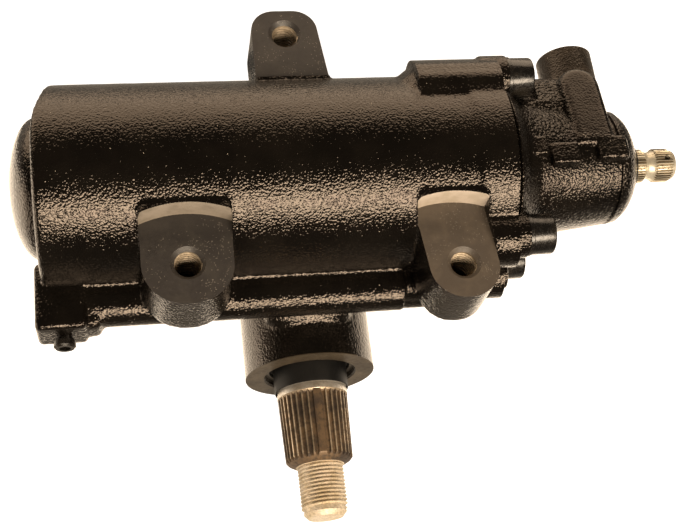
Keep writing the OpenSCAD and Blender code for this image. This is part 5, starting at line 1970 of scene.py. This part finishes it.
@dataclass
class InputShaft:
    """Input shaft: spool inside the valve sleeve, splined end outside."""

    # Spool with its oil slots, and journal
    spool_x: float = 105.3
    spool_end: float = 139.0
    spool_r: float = 12.5
    slots: int = 6
    slot_x: Pair = (112.0, 134.0)
    slot_half: float = 1.5
    slot_depth: float = 1.0
    journal_r: float = 9.0
    journal_step: float = 0.6

    # Splined end with its turned groove, bore and cross hole
    spline_x: float = 165.8
    end_x: float = 186.7
    spline_r: float = 8.4
    splines: int = 36
    spline_depth: float = 0.75
    chamfer: Pair = (1.5, 3.2)
    groove_x: float = 173.3
    groove_rise: float = 2.6
    groove_r: float = 4.2
    groove_turn: Pair = (218.0, 322.0)
    groove_half: float = 4.0
    bore_x: float = 100.0
    bore_r: float = 4.5
    hole_x: float = 181.9
    hole_r: float = 1.5

    def splined_end(self) -> Piece:
        """Splines with their groove and chamfered end."""
        r, start = self.spline_r, self.spline_x
        star = extruded("splines", Axis.X, spline_outline(r, self.spline_depth, self.splines), start - 1,
                        self.end_x)
        groove = arc(self.groove_x, r + self.groove_rise, self.groove_r, *self.groove_turn, 10)
        envelope = [(r, start - 2), *[(groove_r, x) for x, groove_r in groove],
                    (r, self.end_x - self.chamfer[1]), (r - self.chamfer[0], self.end_x)]
        return combine(star, Cut.KEEP, turned("envelope", Axis.X, (0, 0, 0), envelope))

    def oil_slots(self) -> Piece:
        """Cutter for the oil slots round the spool."""
        low, high = self.slot_x
        inner, outer, half = self.spool_r - self.slot_depth, self.spool_r + CLEAR, self.slot_half
        slots = []
        for k in range(self.slots):
            slot = block("oil_slot", (low, inner, -half), (high, outer, half))
            slots.append(swing(slot, "X", 360 / self.slots * k))
        return gather("oil_slots", slots)

    def valley(self, c: np.ndarray, n: np.ndarray) -> np.ndarray:
        """Valleys of the splines."""
        off_groove = np.abs(c[:, 0] - self.groove_x) > self.groove_half
        low = (c[:, 0] > self.spline_x) & (off_worm(c) < self.spline_r - NEAR)
        return low & off_groove & (np.abs(n[:, 0]) < 0.2)

    def build(self) -> None:
        """Turn the shaft, cut its splines, groove, oil slots and cross hole."""
        journal, step, start = self.journal_r, self.journal_step, self.spline_x
        profile = [(self.spool_r, self.spool_x), (self.spool_r, self.spool_end), (journal, self.spool_end),
                   (journal, start - step), (journal - step, start)]
        shaft = turned("splined_input_shaft", Axis.X, (0, 0, 0), profile)
        combine(shaft, Cut.JOIN, self.splined_end())
        combine(shaft, Cut.AWAY, self.oil_slots(),
                rod("bore", Axis.X, (self.bore_x, 0, 0), FAR, self.bore_r, sides=64),
                rod("cross_hole", Axis.Z, (self.hole_x, 0, -FAR), 2 * FAR, self.hole_r, sides=40))
        dress(shaft, INPUT_STEEL, (INPUT_VALLEYS, self.valley))
        install(shaft, "input", "input_steel", "input_shaft")


@dataclass(frozen=True)
class SoftBox:
    """Rectangular light, placed and aimed in metres about the worm axis."""

    name: str
    place: Point
    aim: Point
    size: Pair
    radiance: float
    colour: Point

    def build(self) -> None:
        """Hang the light."""
        data = bpy.data.lights.new(self.name, "AREA")
        data.shape = "RECTANGLE"
        data.size, data.size_y = self.size
        data.energy = self.radiance * math.pi * self.size[0] * self.size[1]
        data.color = self.colour
        obj = bpy.data.objects.new(self.name, data)
        obj.location = WORM + Vector(self.place)
        way = WORM + Vector(self.aim) - obj.location
        obj.rotation_euler = way.to_track_quat("-Z", "Y").to_euler()
        obj.visible_camera = False
        bpy.context.scene.collection.objects.link(obj)


@dataclass
class Studio:
    """White table, soft lights and the camera of the photograph."""

    # Camera, with its angles in degrees
    focal_px: float = 1200.0
    image_w: int = 683
    sensor_mm: float = 36.0
    clip_m: float = 0.01
    camera_place: Point = (-85.53, -264.73, 505.38)
    tilt: float = 23.48
    yaw: float = 10.05
    roll: float = 2.97

    # Colours of the light, and the table with its sizes in metres
    warm: Point = (1.0, 0.82, 0.62)
    amber: Point = (1.0, 0.77, 0.55)
    white: Point = (1.0, 1.0, 1.0)
    dim: Point = (0.06, 0.052, 0.042)
    table: Point = (0.6, 0.6, 0.6)
    table_rough: float = 0.9
    table_glow: float = 0.93
    table_size: float = 12.0
    table_gap: float = 0.0005
    table_drop: float = 0.13

    def camera(self) -> None:
        """Put the camera where the photograph was taken."""
        tilt, yaw, roll = (math.radians(a) for a in (self.tilt, self.yaw, self.roll))
        ahead = Vector((math.sin(yaw), math.sin(tilt) * math.cos(yaw), -math.cos(tilt) * math.cos(yaw)))
        ahead.normalize()
        level = ahead.cross(Vector((0, math.cos(tilt), math.sin(tilt)))).normalized()
        plumb = level.cross(ahead)
        right = math.cos(roll) * level - math.sin(roll) * plumb
        above = math.sin(roll) * level + math.cos(roll) * plumb
        data = bpy.data.cameras.new("camera")
        data.sensor_fit = "HORIZONTAL"
        data.sensor_width = self.sensor_mm
        data.lens = self.focal_px / self.image_w * self.sensor_mm
        data.clip_start = self.clip_m
        obj = bpy.data.objects.new("camera", data)
        turn = Matrix((right, above, -ahead)).transposed().to_4x4()
        obj.matrix_world = Matrix.Translation(spot(self.camera_place)) @ turn
        bpy.context.scene.collection.objects.link(obj)
        bpy.context.scene.camera = obj

    def floor(self) -> None:
        """Lay the pale table that the gear rests on."""
        bpy.ops.object.select_all(action="DESELECT")
        bpy.ops.mesh.primitive_plane_add(size=self.table_size, location=(0, 0, -self.table_gap))
        obj = bpy.context.object
        obj.name = "table"
        material, _, _ = principled("pale_table", Base_Color=rgba(self.table), Roughness=self.table_rough,
                                    Emission_Color=rgba(self.white), Emission_Strength=self.table_glow)
        obj.data.materials.append(material)
        obj.visible_glossy = False
        obj.visible_shadow = False

    def sky(self) -> None:
        """White surround for the eye, dim for reflections."""
        world = bpy.data.worlds.new("surround")
        world.use_nodes = True
        bpy.context.scene.world = world
        w = Wiring(world.node_tree)
        seen = w.add("LightPath").outputs["Is Camera Ray"]
        back = world.node_tree.nodes["Background"]
        w.feed(back.inputs["Color"], w.blend(seen, rgba(self.dim), rgba(self.white)))

    def lights(self) -> None:
        """Hang the soft boxes, with those of the table facing up."""
        low = -self.table_drop
        boxes = (
            SoftBox("front_box", (0.38, -1.3, 0.98), (0, 0, 0), (2.2, 0.6), 16.5, self.warm),
            SoftBox("back_wall", (-0.5, 1.6, 0.62), (-0.5, 0, 0), (4.2, 1.6), 2.7, self.amber),
            SoftBox("left_glow", (-1.2, -0.25, -0.15), (0, 0, 0), (1.1, 0.9), 2.2, self.warm),
            SoftBox("table_glow", (0.0, 0.03, low), (0, 0.03, 1), (2.0, 0.21), 2.5, self.warm),
            SoftBox("table_front", (0.0, -0.135, low), (0, -0.135, 1), (2.0, 0.12), 0.4, self.warm),
            SoftBox("back_table", (0.0, 0.66, low), (0, 0.66, 1), (2.4, 1.0), 0.35, self.warm),
        )
        for box in boxes:
            box.build()

    def build(self) -> None:
        """Set up the studio."""
        bpy.context.scene.view_settings.view_transform = "Standard"
        self.camera()
        self.floor()
        self.sky()
        self.lights()


def dress_carried_over() -> None:
    """Give every CAD node that stays the finish of its material slot."""
    slots = {row["node"]: row["material_slot"] for row in frame["record"]["subparts"]}
    for name, obj in frame["nodes"].items():
        obj.data.materials.clear()
        obj.data.materials.append(PIN_END if name == "torsion_bar_input_pin" else CARRIED_OVER[slots[name]])
        LOG.info("%s: finish %s", name, slots[name])


def main() -> None:
    """Build the studio and the gear."""
    Studio().build()
    dress_carried_over()
    flange, joint = CastFlange(), CoverJoint()
    for piece in (GearHousing(flange, joint), ValveHousing(flange), SocketScrews(flange), SideCover(joint),
                  GalleryPlug(), SectorShaft(), SectorSeal(), InputShaft()):
        piece.build()


if __name__ == "__main__":
    main()
